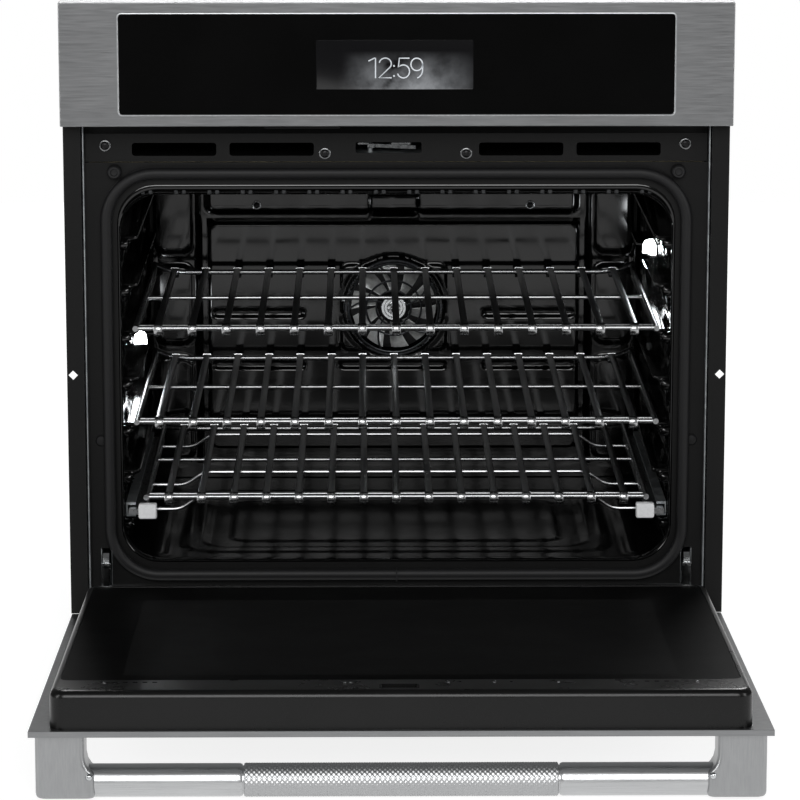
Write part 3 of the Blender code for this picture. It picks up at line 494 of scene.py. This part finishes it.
def circle(r, depth):
    """A closed path round the fan's axis: r cos a across and r sin a up from it."""
    a = np.linspace(0, 2 * math.pi, 49)[:-1]
    return np.stack([r * np.cos(a), 0 * a + depth, fan_z + r * np.sin(a)], 1)


chrome = finish("chromed_steel", "#9fa2a4", "#d6d8d9", 1.0, (0.08, 0.18), 6, bump=0.01)
sill = np.array([(x, 57, 46) for x in (-338, -320, -296, -290, 0, 290, 296, 320, 338)], float)
sill_radius = [1.9, 2.1, 1.9, 0.9, 0.9, 0.9, 1.9, 2.1, 1.9]
piece("sill_rail", [rod(sill, sill_radius, (0, 0, 1), 12)], washer, "chassis")
guard = [rod(circle(q, 499.4), 1.3, (0, 1, 0), 8, False) for q in (22, 35, 57)]
for k in range(5):
    q = np.linspace(0, 1, 12)
    radius, angle = 12 + 47 * q, k * math.pi / 2.5 + 0.2 + 0.5 * q ** 1.5
    guard.append(rod(np.stack([radius * np.cos(angle), 0 * q + 500.6, fan_z + radius * np.sin(angle)], 1),
                     1.2, (0, 1, 0), 8))
guard.append(turned([(58, 503.5), (62, 503.5), (62.8, 501.6), (61.4, 500.2), (59.2, 500.2), (58, 501.6)],
                    "depth", 0, fan_z, 56, True))
guard_finish = finish("guard_wire", "#2c2d2f", "#55575a", 1.0, (0.25, 0.4), 3)
piece("fan_guard", guard, guard_finish, "chassis")
hub_plate = [(16.5, 501.2), (16.5, 499.2), (15.2, 498.2), (12.4, 498.2), (11.6, 499.0),
             (8.6, 499.0), (8.0, 497.4), (5.4, 496.8), (1.0, 496.8)]
hub_nut = [(4.6, 497.4), (4.6, 494.8), (3.6, 494.2)]
piece("fan_hub_plate", [turned(hub_plate, "depth", 0, fan_z, 36), turned(hub_nut, "depth", 0, fan_z, 6)],
      chrome, "chassis")

# The convection fan: a disc and hub on the motor's shaft, with ten folded blades of aluminised steel that
# heat has dulled a little. The motor hangs behind the back wall.
aluminised = finish("aluminised_steel", "#a8aaa9", "#e2e4e3", 0.35, (0.3, 0.5), 5, bump=0.01)
disc = [turned([(54.6, 518.4), (54.6, 517.2), (11, 517.2), (11, 508), (8.5, 507), (4.8, 507), (4.8, 518.4)],
               "depth", 0, fan_z, 40, True)]
blades = []
for k in range(10):
    s, q = np.meshgrid(np.linspace(0, 1, 6), np.linspace(0, 1, 5), indexing="ij")
    radius, lift = 21 + 32.5 * s, 506.6 + 10.6 * q
    angle = k * math.pi / 5 + 0.10 + 0.16 * s + 0.40 * (1 - q)
    front = np.stack([radius * np.cos(angle), lift, fan_z + radius * np.sin(angle)], -1)
    shift = np.stack([-np.sin(angle), 0 * angle, np.cos(angle)], -1) * 1.1
    loop = np.concatenate([front, (front + shift)[:, ::-1]], 1)
    blades.append(solid(at(loop[..., 0], loop[..., 1], loop[..., 2])))
piece("fan_blades", blades, aluminised, "fan", ("convection_fan",))
# The fan disc takes the black oxide finish so that the gaps between the blades read dark: painted shade
# behind the blades.
piece("fan_disc", disc, black_screw, "fan")
motor = finish("motor_casing", "#6f7274", "#94979a", 0.9, (0.35, 0.5), 4, bump=0.02)
dress(motor, "convection_motor")
dress(galvanised, "hinge_receiver_left", "hinge_receiver_right", "latch_housing", "slide_rail_left",
      "slide_rail_right", "cooling_blower_housing", "cooling_blower_wheel")
# The air duct behind the strip's slots takes the black paint so that the slots read black: painted shade seen
# through the slots.
dress(paint, "air_duct")

# The heating elements: mineral-filled tubes bent to shape, their nickel alloy sheath oxidised to a dull brown
# black. The temperature probe in the top corner is a thin bright stainless tube on a clip.
sheath = finish("oxidised_alloy_sheath", "#151312", "#37302b", 0.7, (0.45, 0.7), 3, bump=0.06, level=0.3)
dress(sheath, "convection_element", "broil_element", "bake_element")
dress(chrome, "temperature_sensor")

# The oven lamps: pressed heat-proof glass lenses let into the side walls, with a rippled face and the lamp
# behind them lit, so the glass itself is the brightest thing in the oven.
lit = finish("lit_fluted_glass", "#f2f4f6", "#ffffff", 0.0, (0.1, 0.2), 3, bump=0.2)
glow = lit.node_tree.nodes["Principled BSDF"]
glow.inputs["Emission Color"].default_value = (0.93, 0.97, 1.0, 1)
glow.inputs["Emission Strength"].default_value = 18.0
bezel = finish("lamp_bezel", "#141415", "#2b2c2e", 0.8, (0.2, 0.35), 2, bump=0.02)
lenses, rims = [], []
for side, d0, z0 in ((-1, 340, 276), (1, 346, 388)):
    dished = [(d0 - 28 + e, d0 + 28 - e, z0 - 16 + e, z0 + 16 - e, 6, w)
              for e, w in ((0, 321.4), (0, 312), (1.5, 308), (4.5, 305.4), (9, 304.6))]
    rim = [(d0 - 31 - e, d0 + 31 + e, z0 - 19 - e, z0 + 19 + e, 8, w)
           for e, w in ((0, 320.8), (0, 318.6), (-1.2, 317.4), (-3.0, 317.4), (-3.0, 320.8))]
    for bag, rows in ((lenses, dished), (rims, rim)):
        shell = loft(rows, "x", n=6, ring=bag is rims)
        bag.append(shell if side > 0 else mirrored(shell))
piece("lamp_glass_right", lenses[1:], lit, "chassis", ("lamp_lens_right",))
piece("lamp_glass_left", lenses[:1], lit, "chassis", ("lamp_lens_left",))
piece("lamp_bezels", rims, bezel, "chassis")

# The cooling air path and the latch: behind the vented strip a bright plated hook swings through its slot to
# hold the door in the hot cleaning cycle. A dark folded tab shows above the strip.
dress(chrome, "latch_hook", "hinge_lock_left", "hinge_lock_right")
lever = [loft([(-6, 16, 562.2, 564.4, 0.6, d) for d in (64, 67.5)], n=3),
         loft([(-44, -31, 562.2, 564.2, 0.8, d) for d in (65, 70)], n=3)]
piece("latch_switch_lever", lever, chrome, "chassis")
tab = loft([(-149, -64, 586.2, 590.2, 1.0, d) for d in (20, 33)], n=4)
piece("strip_tab", [tab], paint, "chassis")

# The hinges: laser-cut arms, plated bright, hooked over a pin in a receiver each side. The arm's nose stands
# in front of the frame when the door is open and carries the small swing-over lock.
dress(chrome, "hinge_claw_left", "hinge_claw_right")

# The control head: a folded cover in brushed stainless steel with the grain along its length, a black glass
# panel let into it behind a thin bright edge, and the display, board and black plastic housing behind the
# glass.
steel = finish("brushed_stainless_steel", "#808182", "#8c8d8e", 1.0, (0.28, 0.36), 1.2, stretch=(26, 1, 1),
               bump=0.004, detail=3.0)
dress(steel, "control_fascia")
black_glass = finish("black_tinted_glass", "#010101", "#040404", 0.0, (0.03, 0.06), 90, level=0.3)
dress(black_glass, "control_glass")
edge = finish("bright_bevelled_edge", "#a9abad", "#c9cbcc", 1.0, (0.3, 0.4), 4)
glass_box = (-310.7, 310.7, 604.8, 716.8)
trim_rows = [(glass_box[0] - e, glass_box[1] + e, glass_box[2] - e, glass_box[3] + e, 3.5 + e, d)
             for e, d in ((0.1, 1.5), (0.1, 0.0), (0.7, -0.5), (1.6, -0.4), (2.0, -0.02), (0.6, 0.4))]
piece("glass_edge_trim", [loft(trim_rows, n=5, ring=True)], edge, "chassis")
plastic = finish("moulded_black_plastic", "#0c0c0d", "#1a1a1b", 0.0, (0.4, 0.6), 0.8, bump=0.05)
dress(plastic, "control_housing", "display_module")
board = finish("solder_mask_board", "#0b3d24", "#17603a", 0.0, (0.25, 0.45), 2.5, bump=0.08, cells=True)
dress(board, "control_board")
screen = bpy.data.materials.new("lit_display")
screen.use_nodes = True
t = screen.node_tree
p = t.nodes["Principled BSDF"]
p.inputs["Base Color"].default_value = lin("#020203")
p.inputs["Roughness"].default_value = 0.12
where = add(t, "ShaderNodeTexCoord")
smoke = add(t, "ShaderNodeTexNoise", {"Vector": where.outputs["Object"], "Scale": 26.0, "Detail": 5.0,
                                      "Roughness": 0.55})
low = add(t, "ShaderNodeSeparateXYZ", {"Vector": where.outputs["Object"]})
fade = add(t, "ShaderNodeMapRange", {"Value": low.outputs["Z"], "From Min": 0.634, "From Max": 0.676,
                                     "To Min": 1.0, "To Max": 0.0})
off = add(t, "ShaderNodeMath", {0: low.outputs["X"], 1: 0.012}, operation="SUBTRACT")
away = add(t, "ShaderNodeMath", {0: off.outputs[0]}, operation="ABSOLUTE")
centred = add(t, "ShaderNodeMapRange", {"Value": away.outputs[0], "From Min": 0.0, "From Max": 0.078,
                                        "To Min": 1.0, "To Max": 0.0})
puff = add(t, "ShaderNodeMapRange", {"Value": smoke.outputs["Fac"], "From Min": 0.3, "From Max": 0.72})
drift = add(t, "ShaderNodeMath", {0: fade.outputs[0], 1: centred.outputs[0]}, operation="MULTIPLY")
haze = add(t, "ShaderNodeMath", {0: drift.outputs[0], 1: puff.outputs[0]}, operation="MULTIPLY")
mist = add(t, "ShaderNodeMix", {"Factor": haze.outputs[0], "A": (0.0012, 0.0012, 0.0014, 1),
                                "B": (0.55, 0.57, 0.6, 1)}, data_type="RGBA")
t.links.new(mist.outputs["Result"], p.inputs["Emission Color"])
p.inputs["Emission Strength"].default_value = 1.0
piece("display_face", [loft([(-90.3, 85.4, 633, 688, 1.2, 0.28), (-90.3, 85.4, 633, 688, 1.2, 0.16),
                             (-90.0, 85.1, 633.3, 687.7, 1.0, 0.12)], n=4)],
      screen, "chassis")
ink = finish("lit_digits", "#8f9398", "#c8ccd0", 0.0, (0.3, 0.4), 30)
p = ink.node_tree.nodes["Principled BSDF"]
p.inputs["Emission Color"].default_value = (0.8, 0.85, 0.9, 1)
p.inputs["Emission Strength"].default_value = 0.2


def arc(cx, cz, rx, rz, a0, a1, n=16):
    """Points of an ellipse about (cx, cz) from a0 to a1 degrees: rx cos a across and rz sin a up."""
    a = np.radians(np.linspace(a0, a1, n))
    return np.stack([cx + rx * np.cos(a), cz + rz * np.sin(a)], 1)


strokes = {"1": [[(0.5, 5.1), (2.3, 6.0), (2.6, 6.0), (2.6, 0)]],
           "2": [np.concatenate([arc(2.2, 4.3, 1.8, 1.7, 170, -35), [(0.3, 0.1), (4.1, 0.1)]])],
           "5": [np.concatenate([[(3.9, 5.95), (0.9, 5.95), (0.6, 3.2)],
                                 arc(2.1, 2.0, 1.85, 1.95, 118, -160)])],
           "9": [arc(2.2, 4.1, 1.75, 1.85, 0, 360, 28),
                 np.concatenate([[(3.95, 4.4), (3.95, 3.2)], arc(1.9, 2.6, 2.05, 2.6, -5, -78)])]}


def ribbon(points, left, w=0.18):
    """A pen stroke, left mm along the clock: the line offset by w along its own normal, a hair in front of
    the glass."""
    p = np.asarray(points, float)
    tangent = np.gradient(p, axis=0)
    n = tangent[:, ::-1] * [-1, 1] / np.linalg.norm(tangent, axis=1, keepdims=True) * w
    flat = np.stack([p - n, p + n], 1) * 3.75
    loop = np.concatenate([flat, flat[:, ::-1]], 1)
    return solid(at(-33.6 + left + loop[..., 0], np.array([0.05, 0.05, 0.1, 0.1]), 645.5 + loop[..., 1]))


lit_strokes = []
for figure, left in (("1", 0.0), ("2", 12.4), ("5", 33.0), ("9", 47.6)):
    lit_strokes += [ribbon(q, left) for q in strokes[figure]]
lit_strokes += [ribbon([(0, h), (0, h + 0.25), (0, h + 0.5)], 30.4, 0.24) for h in (0.4, 3.4)]
piece("clock_digits", lit_strokes, ink, "chassis")

# The supply entry: a turned zinc conduit gland with a hexagon locknut through the back panel, for the house
# wiring.
dress(zinc, "conduit_gland")

# The door: a brushed stainless skin wrapped round a stack of glass panes, with a deep enamelled liner tray
# inside it. Everything here is drawn on the closed door and swung about the hinge pin to where it stands
# open.


def swung(points, degrees=87.0, pin=(8.6, 24.7)):
    """Points of the closed door turned about the hinge pin: depth' = pin + y cos - h sin, height' = pin + y
    sin + h cos."""
    c, s = math.cos(math.radians(degrees)), math.sin(math.radians(degrees))
    y, h = (points[..., 1] - face) * 1000 - pin[0], points[..., 2] * 1000 - pin[1]
    return at(points[..., 0] * 1000, pin[0] + y * c - h * s, pin[1] + y * s + h * c)


def opened(shell):
    """A shell of the closed door, swung to where the door stands open."""
    return swung(shell[0]), shell[1]


dress(steel, "door_skin")
# The return flange is the skin's own stainless steel, drawn as a darker copy of it: painted shade on the
# upward-facing flange.
flange = finish("return_flange_painted_shade", "#3a3b3c", "#4c4d4e", 0.8, (0.34, 0.46), 6)
around = [(-375.2 + e, 375.2 - e, 8.3 + e, 585.7 - e, 1.2, b) for b, e in ((5.9, 0), (6.25, 0), (6.3, 0.3))]
within = [(-355.6, 355.6, 33.4, 579.6, 16, b) for b in (6.3, 5.9)]
flange_frame = piece("skin_return_flange", [opened(loft(around + within, ring=True))], flange, "door")
liner_enamel = finish("door_liner_enamel", "#080808", "#0d0d0d", 0.0, (0.26, 0.3), 60, level=0.26)
fold = [(6.4, 0.0), (38.0, 0.0), (40.8, 0.5), (43.2, 1.8), (45.0, 3.8), (46.0, 6.6)]
outer = [(-355 + e, 355 - e, 34 + e, 579 - e, 16 - e * 0.4, b) for b, e in fold]
inner = [(-347.6, 347.6, 48.4, 528.6, 10, 46.0), (-347.2, 347.2, 48.8, 528.2, 10, 45.4),
         (-346.8, 346.8, 49.2, 527.8, 10, 44.0), (-346.8, 346.8, 49.2, 527.8, 10, 41.0)]
inside = [(-353.4, 353.4, 35.6, 577.4, 15, 41.0), (-353.4, 353.4, 35.6, 577.4, 15, 6.4)]
tray = loft(outer + inner + inside, n=8, ring=True)
liner = piece("door_liner_tray", [opened(tray)], liner_enamel, "door", ("door_liner",),
              sharp=40)


def cut_through(o, *shells):
    """Takes solid shells out of a closed piece, exactly, and keeps the result as the piece's own mesh."""
    cutter = piece("cutter", shells, o.data.materials[0], "chassis")
    tool = o.modifiers.new("cut", "BOOLEAN")
    tool.operation, tool.solver, tool.object = "DIFFERENCE", "EXACT", cutter
    bpy.context.view_layer.update()
    made = bpy.data.meshes.new_from_object(o.evaluated_get(bpy.context.evaluated_depsgraph_get()))
    o.modifiers.clear()
    o.data = made
    made.set_sharp_from_angle(angle=math.radians(40))
    bpy.data.objects.remove(cutter)
    flat = o.modifiers.new("flat faces stay flat", "WEIGHTED_NORMAL")
    flat.keep_sharp = True


cut_through(liner, opened(loft([(-20, 16, 551, 567, 2.5, b) for b in (30, 52)])),
            *[opened(s) for s in pair(loft([(329, 345, 20, 43.8, 1.0, b) for b in (2, 52)]))])
cut_through(flange_frame, *[opened(s) for s in pair(loft([(328, 346, 12, 62, 1.0, b) for b in (2, 12)]))])
slot_rows = [(-20 - e, 16 + e, 551 - e, 567 + e, 2.5 + e, b)
             for e, b in ((0.1, 44.8), (0.1, 46.2), (0.6, 46.5), (2.2, 46.4), (2.4, 46.1), (2.4, 45.9))]
piece("latch_slot_frame", [opened(loft(slot_rows, n=5, ring=True))], paint, "door")
# The liner's vent holes are not cut: near-black patches on its face stand in for the shade inside them,
# painted shade.
dark = finish("painted_hole_shade", "#010101", "#030303", 0.0, (0.7, 0.9), 4, level=0.1)
holes = [(-300 + 10 * k, 2.6) for k in range(6)] + [(-52 + 5 * k, 1.4) for k in range(3)]
holes += [(60, 1.4), (112, 1.4)] + [(250 + 10 * k, 2.6) for k in range(6)]
vent_shade_patches = [loft([(c - w, c + w, 537.5, 540.5, 1.4, b) for b in (46.2, 45.6)], n=4) for c, w in holes]
piece("liner_vent_hole_shade", [opened(v) for v in vent_shade_patches], dark, "door")
rivets = [turned([(1.9, 45.9), (1.9, 46.4), (1.3, 46.9), (0.4, 47.1)], "depth", c, 541, 12)
          for c in (-301, -57, -51, 48, 95, 160, 301)]
piece("liner_rivets", [opened(v) for v in rivets], ring_finish, "door")
pane = finish("heat_proof_dark_glass", "#040404", "#050505", 0.0, (0.42, 0.5), 80, level=0.02)
t = pane.node_tree
where = t.nodes["Texture Coordinate"]
spot = add(t, "ShaderNodeSeparateXYZ", {"Vector": where.outputs["Object"]})
window_x = add(t, "ShaderNodeMath", {0: spot.outputs["X"]}, operation="ABSOLUTE")
in_x = add(t, "ShaderNodeMapRange", {"Value": window_x.outputs[0], "From Min": 0.2845, "From Max": 0.2855,
                                     "To Min": 1.0, "To Max": 0.0})
in_near = add(t, "ShaderNodeMapRange", {"Value": spot.outputs["Y"], "From Min": face - 0.468,
                                        "From Max": face - 0.467, "To Min": 0.0, "To Max": 1.0})
in_far = add(t, "ShaderNodeMapRange", {"Value": spot.outputs["Y"], "From Min": face - 0.088,
                                       "From Max": face - 0.087, "To Min": 1.0, "To Max": 0.0})
in_sides = add(t, "ShaderNodeMath", {0: in_x.outputs[0], 1: in_near.outputs[0]}, operation="MULTIPLY")
in_window = add(t, "ShaderNodeMath", {0: in_sides.outputs[0], 1: in_far.outputs[0]}, operation="MULTIPLY")
base = t.nodes["Principled BSDF"].inputs["Base Color"]
see = add(t, "ShaderNodeMix", {"Factor": in_window.outputs[0], "A": base.links[0].from_socket,
                               "B": lin("#111111")}, data_type="RGBA")
t.links.new(see.outputs["Result"], base)
dress(pane, "door_inner_glass")
clear = finish("clear_coated_glass", "#dfe6e4", "#eef3f1", 0.0, (0.02, 0.05), 40)
clear.node_tree.nodes["Principled BSDF"].inputs["Transmission Weight"].default_value = 0.85
dress(clear, "door_middle_glass")
outer_tint = finish("smoked_outer_glass", "#050506", "#0a0a0b", 0.0, (0.02, 0.05), 60)
dress(outer_tint, "door_outer_glass")
dress(aluminised, "door_window_frame")

# The handle: a satin stainless tube with a diamond-knurled middle, held by two cast and brushed end brackets
# that flare round it. The knurl is drawn 5 mm between ridges, coarser than the real one, so that it shows.
bar_depth, bar_z = -52, 553  # the bar's axis, in front of the skin
satin = finish("satin_stainless_steel", "#aeafb0", "#c0c1c2", 1.0, (0.26, 0.32), 1.2, stretch=(40, 1, 1),
               bump=0.004, detail=3.0)
knurled = finish("knurled_steel", "#a0a1a2", "#b6b7b8", 1.0, (0.36, 0.44), 1.4)


def bar(x0, x1, r, steps, around, knurl=0.0):
    """A tube along x at the handle's axis: radius r, eased in at its ends, less knurl times the height of two
    crossed screw threads, |sin| of 10 turns plus and minus the angle, so the high points are diamonds."""
    s = np.linspace(x0, x1, steps)[:, None]
    a = np.linspace(0, 2 * math.pi, around + 1)[:-1][None]
    ease = np.minimum(np.clip((s - x0) / 1.0, 0, 1), np.clip((x1 - s) / 1.0, 0, 1)) ** 0.5
    radius = r - 1.0 + ease + 0 * a
    if knurl:
        f = (s - x0) / 5.2 * math.pi
        radius = radius - knurl * (1 - np.abs(np.sin(f + 10 * a) * np.sin(f - 10 * a)) ** 0.5)
    return solid(at(s + 0 * a, bar_depth + radius * np.cos(a), bar_z + radius * np.sin(a)))


piece("handle_tube", [opened(s) for s in (bar(-319.6, -161, 17, 60, 48), bar(161, 319.6, 17, 60, 48),
                                          bar(-162, 162, 15.6, 4, 48))],
      satin, "door", ("handle_bar",))
piece("handle_knurl", [opened(bar(-159.4, 159.4, 17.3, 440, 100, 0.95))], knurled, "door",
      sharp=80)


def bracket():
    """The right-hand bracket: rounded rectangles stacked from the skin to the tip, the inner edge swept in by
    10 ((24 - b) / 18) to the power 2.2, held at 10 so that it flares to a collar round the bar, and the tip
    rounded over."""
    b = np.array([-0.3, -2, -6, -14, -24, -32, -37, -41, -45, -49, -53, -57, -61, -64, -66, -67])
    swell = 10 * np.clip((-b - 24) / 18, 0, 1) ** 2.2
    tip = np.interp(b, [-67, -66, -64, -61], [3.5, 1.6, 0.5, 0])
    return loft([(320 - f + e * 0.4, 370 - e, 532 + e, 574 - e, 6 + f * 0.1, q) for q, f,
                 e in zip(b, swell, tip)], n=7)


cast = finish("brushed_cast_bracket", "#949596", "#a0a1a2", 1.0, (0.3, 0.38), 1.6, stretch=(1, 1, 14),
              bump=0.003, detail=3.0)
right = opened(bracket())
piece("handle_bracket_casting_right", [right], cast, "door", ("handle_bracket_right",),
      sharp=50)
piece("handle_bracket_casting_left", [mirrored(right)], cast, "door",
      ("handle_bracket_left",), sharp=50)
grub = opened(turned([(3.6, 571), (3.6, 574.4), (3.0, 575.8), (1.8, 576.6), (0.6, 576.8)], "z", 315.5, -44,
                     20))
piece("bracket_set_screws", pair(grub), chrome, "door")

# The racks: welded nickel-plated wire frames with fifteen flat rolled straps, each strap's ends curled round
# the front and rear wires in a bright clip. The lowest rack sits on a slide carriage that rolls out with it.
wire = finish("nickel_plated_wire", "#808182", "#9d9e9f", 1.0, (0.24, 0.34), 3)
strap_finish = finish("rolled_flat_strap", "#5c5d5e", "#757677", 1.0, (0.26, 0.4), 2, stretch=(1, 20, 1),
                      bump=0.005)
clip_finish = finish("bright_wire_clip", "#8e8f90", "#b4b5b6", 1.0, (0.2, 0.32), 3)


def bends(points, r, n=5):
    """The corners of a path eased: each becomes a quadratic curve from r before it to r after it."""
    p = np.asarray(points, float)
    a, b, c = p[:-2], p[1:-1], p[2:]
    before = b + (a - b) / np.linalg.norm(a - b, axis=1, keepdims=True) * r
    after = b + (c - b) / np.linalg.norm(c - b, axis=1, keepdims=True) * r
    q = np.linspace(0, 1, n)[None, :, None]
    curve = (1 - q) ** 2 * before[:, None] + 2 * q * (1 - q) * b[:, None] + q ** 2 * after[:, None]
    return np.concatenate([p[:1], curve.reshape(-1, 3), p[-1:]])


def strip_along(path, half_width, half_thick, x):
    """A flat strap along a path in depth and height: each row is four corners, half_width either side of x
    and half_thick either side of the path along its normal."""
    p = np.asarray(path, float)
    tangent = np.gradient(p, axis=0)
    tangent = tangent / np.linalg.norm(tangent, axis=1, keepdims=True)
    n = np.stack([-tangent[:, 1], tangent[:, 0]], 1)
    u = np.array([-1, -0.86, 0.86, 1, 1, 0.86, -0.86, -1]) * half_width
    w = np.array([0.5, 1, 1, 0.5, -0.5, -1, -1, -0.5]) * half_thick
    return solid(at(x + u[None] + 0 * p[:, :1], p[:, :1] + w * n[:, :1], p[:, 1:] + w * n[:, 1:]))


def rack(name, node, z, half, back, kick, body):
    """One rack at height z: two side rails, the cross wires between them, and the straps with their clips."""
    front, rear = 80.5, back - 22
    straight = [(half, 77, z), (half, 200, z), (half, back, z)]
    kicked = [(half, 77, z), (half, back - 26, z), (half, back - 6, z + kick)]
    rail = rod(bends(kicked, 8) if kick else straight, 3.4, (1, 0, 0), 12)
    wires = [rod([(-half - 1, dd, z + h), (0, dd, z + h), (half + 1, dd, z + h)], q, (0, 0, 1), 12)
             for dd, h, q in ((front, 0, 3.2), (96, 0, 2.0), ((77 + back) / 2, -0.2, 2.6))]
    tip = [(half + 0.5, back - 7, z + kick), (half - 18, rear + 3, z + kick * 0.25), (half - 40, rear, z)]
    wires.append(rod(bends(tip + [(-x, d, h) for x, d, h in tip[::-1]], 7), 3.2, (0, 0, 1), 12))
    piece(name, pair(rail) + wires, wire, body, (node,), sharp=60)
    straps, curls = [], []
    pitch = 2 * (half - 26) / 14
    a = np.linspace(-2.4, math.pi / 2, 9)
    b = np.linspace(math.pi / 2, math.pi + 2.4, 9)
    lead = np.stack([front - 5.4 * np.cos(a), z - 1.6 + 6.6 * np.sin(a)], 1)
    tail = np.stack([rear - 4.8 * np.cos(b), z - 0.8 + 5.6 * np.sin(b)], 1)
    path = [(front + 0.5, z + 4.3), ((77 + back) / 2, z + 4.1), (rear - 0.5, z + 4.3)]
    for k in range(15):
        x = -half + 26 + pitch * k
        straps.append(strip_along(path, 4, 0.75, x))
        curls += [strip_along(lead, 4.9, 0.8, x), strip_along(tail, 4.9, 0.8, x)]
    piece(name + "_straps", straps, strap_finish, body, sharp=40)
    piece(name + "_clips", curls, clip_finish, body, sharp=50)


rack("rack_upper_wires", "rack_upper", 346.7, 301, 492, 8, "rack_top")
rack("rack_middle_wires", "rack_middle", 236.7, 301, 492, 8, "rack_mid")
rack("rack_lower_wires", "rack_lower", 147.2, 291, 486, 0, "roll_out")
blocks = loft([(278.5 - e, 299.5, 124.2 - e, 142.4 + e, 2.2, d) for d,
               e in ((63.6, -1.2), (64.4, -0.4), (66, 0), (72, 0), (73, -0.6))], n=5)
slides = loft([(290.5, 311.5, 127.8, 135.1, 1.5, d) for d in (72, 470)], n=4)
cross = []
for d in (89.5, 217, 432):
    half = [(-292, d, 130.7), (-252, d, 130.7), (-230, d, 146.2)]
    cross.append(rod(bends(half + [(-x, y, z) for x, y, z in half[::-1]], 9), 2.1, (0, 1, 0), 10))
block_finish = finish("stamped_end_block", "#c6c7c8", "#dadbdc", 0.25, (0.3, 0.4), 3, bump=0.01)
piece("carriage_end_blocks", pair(blocks), block_finish, "roll_out")
piece("carriage_slides", pair(slides) + cross, wire, "roll_out", ("slide_carriage",))
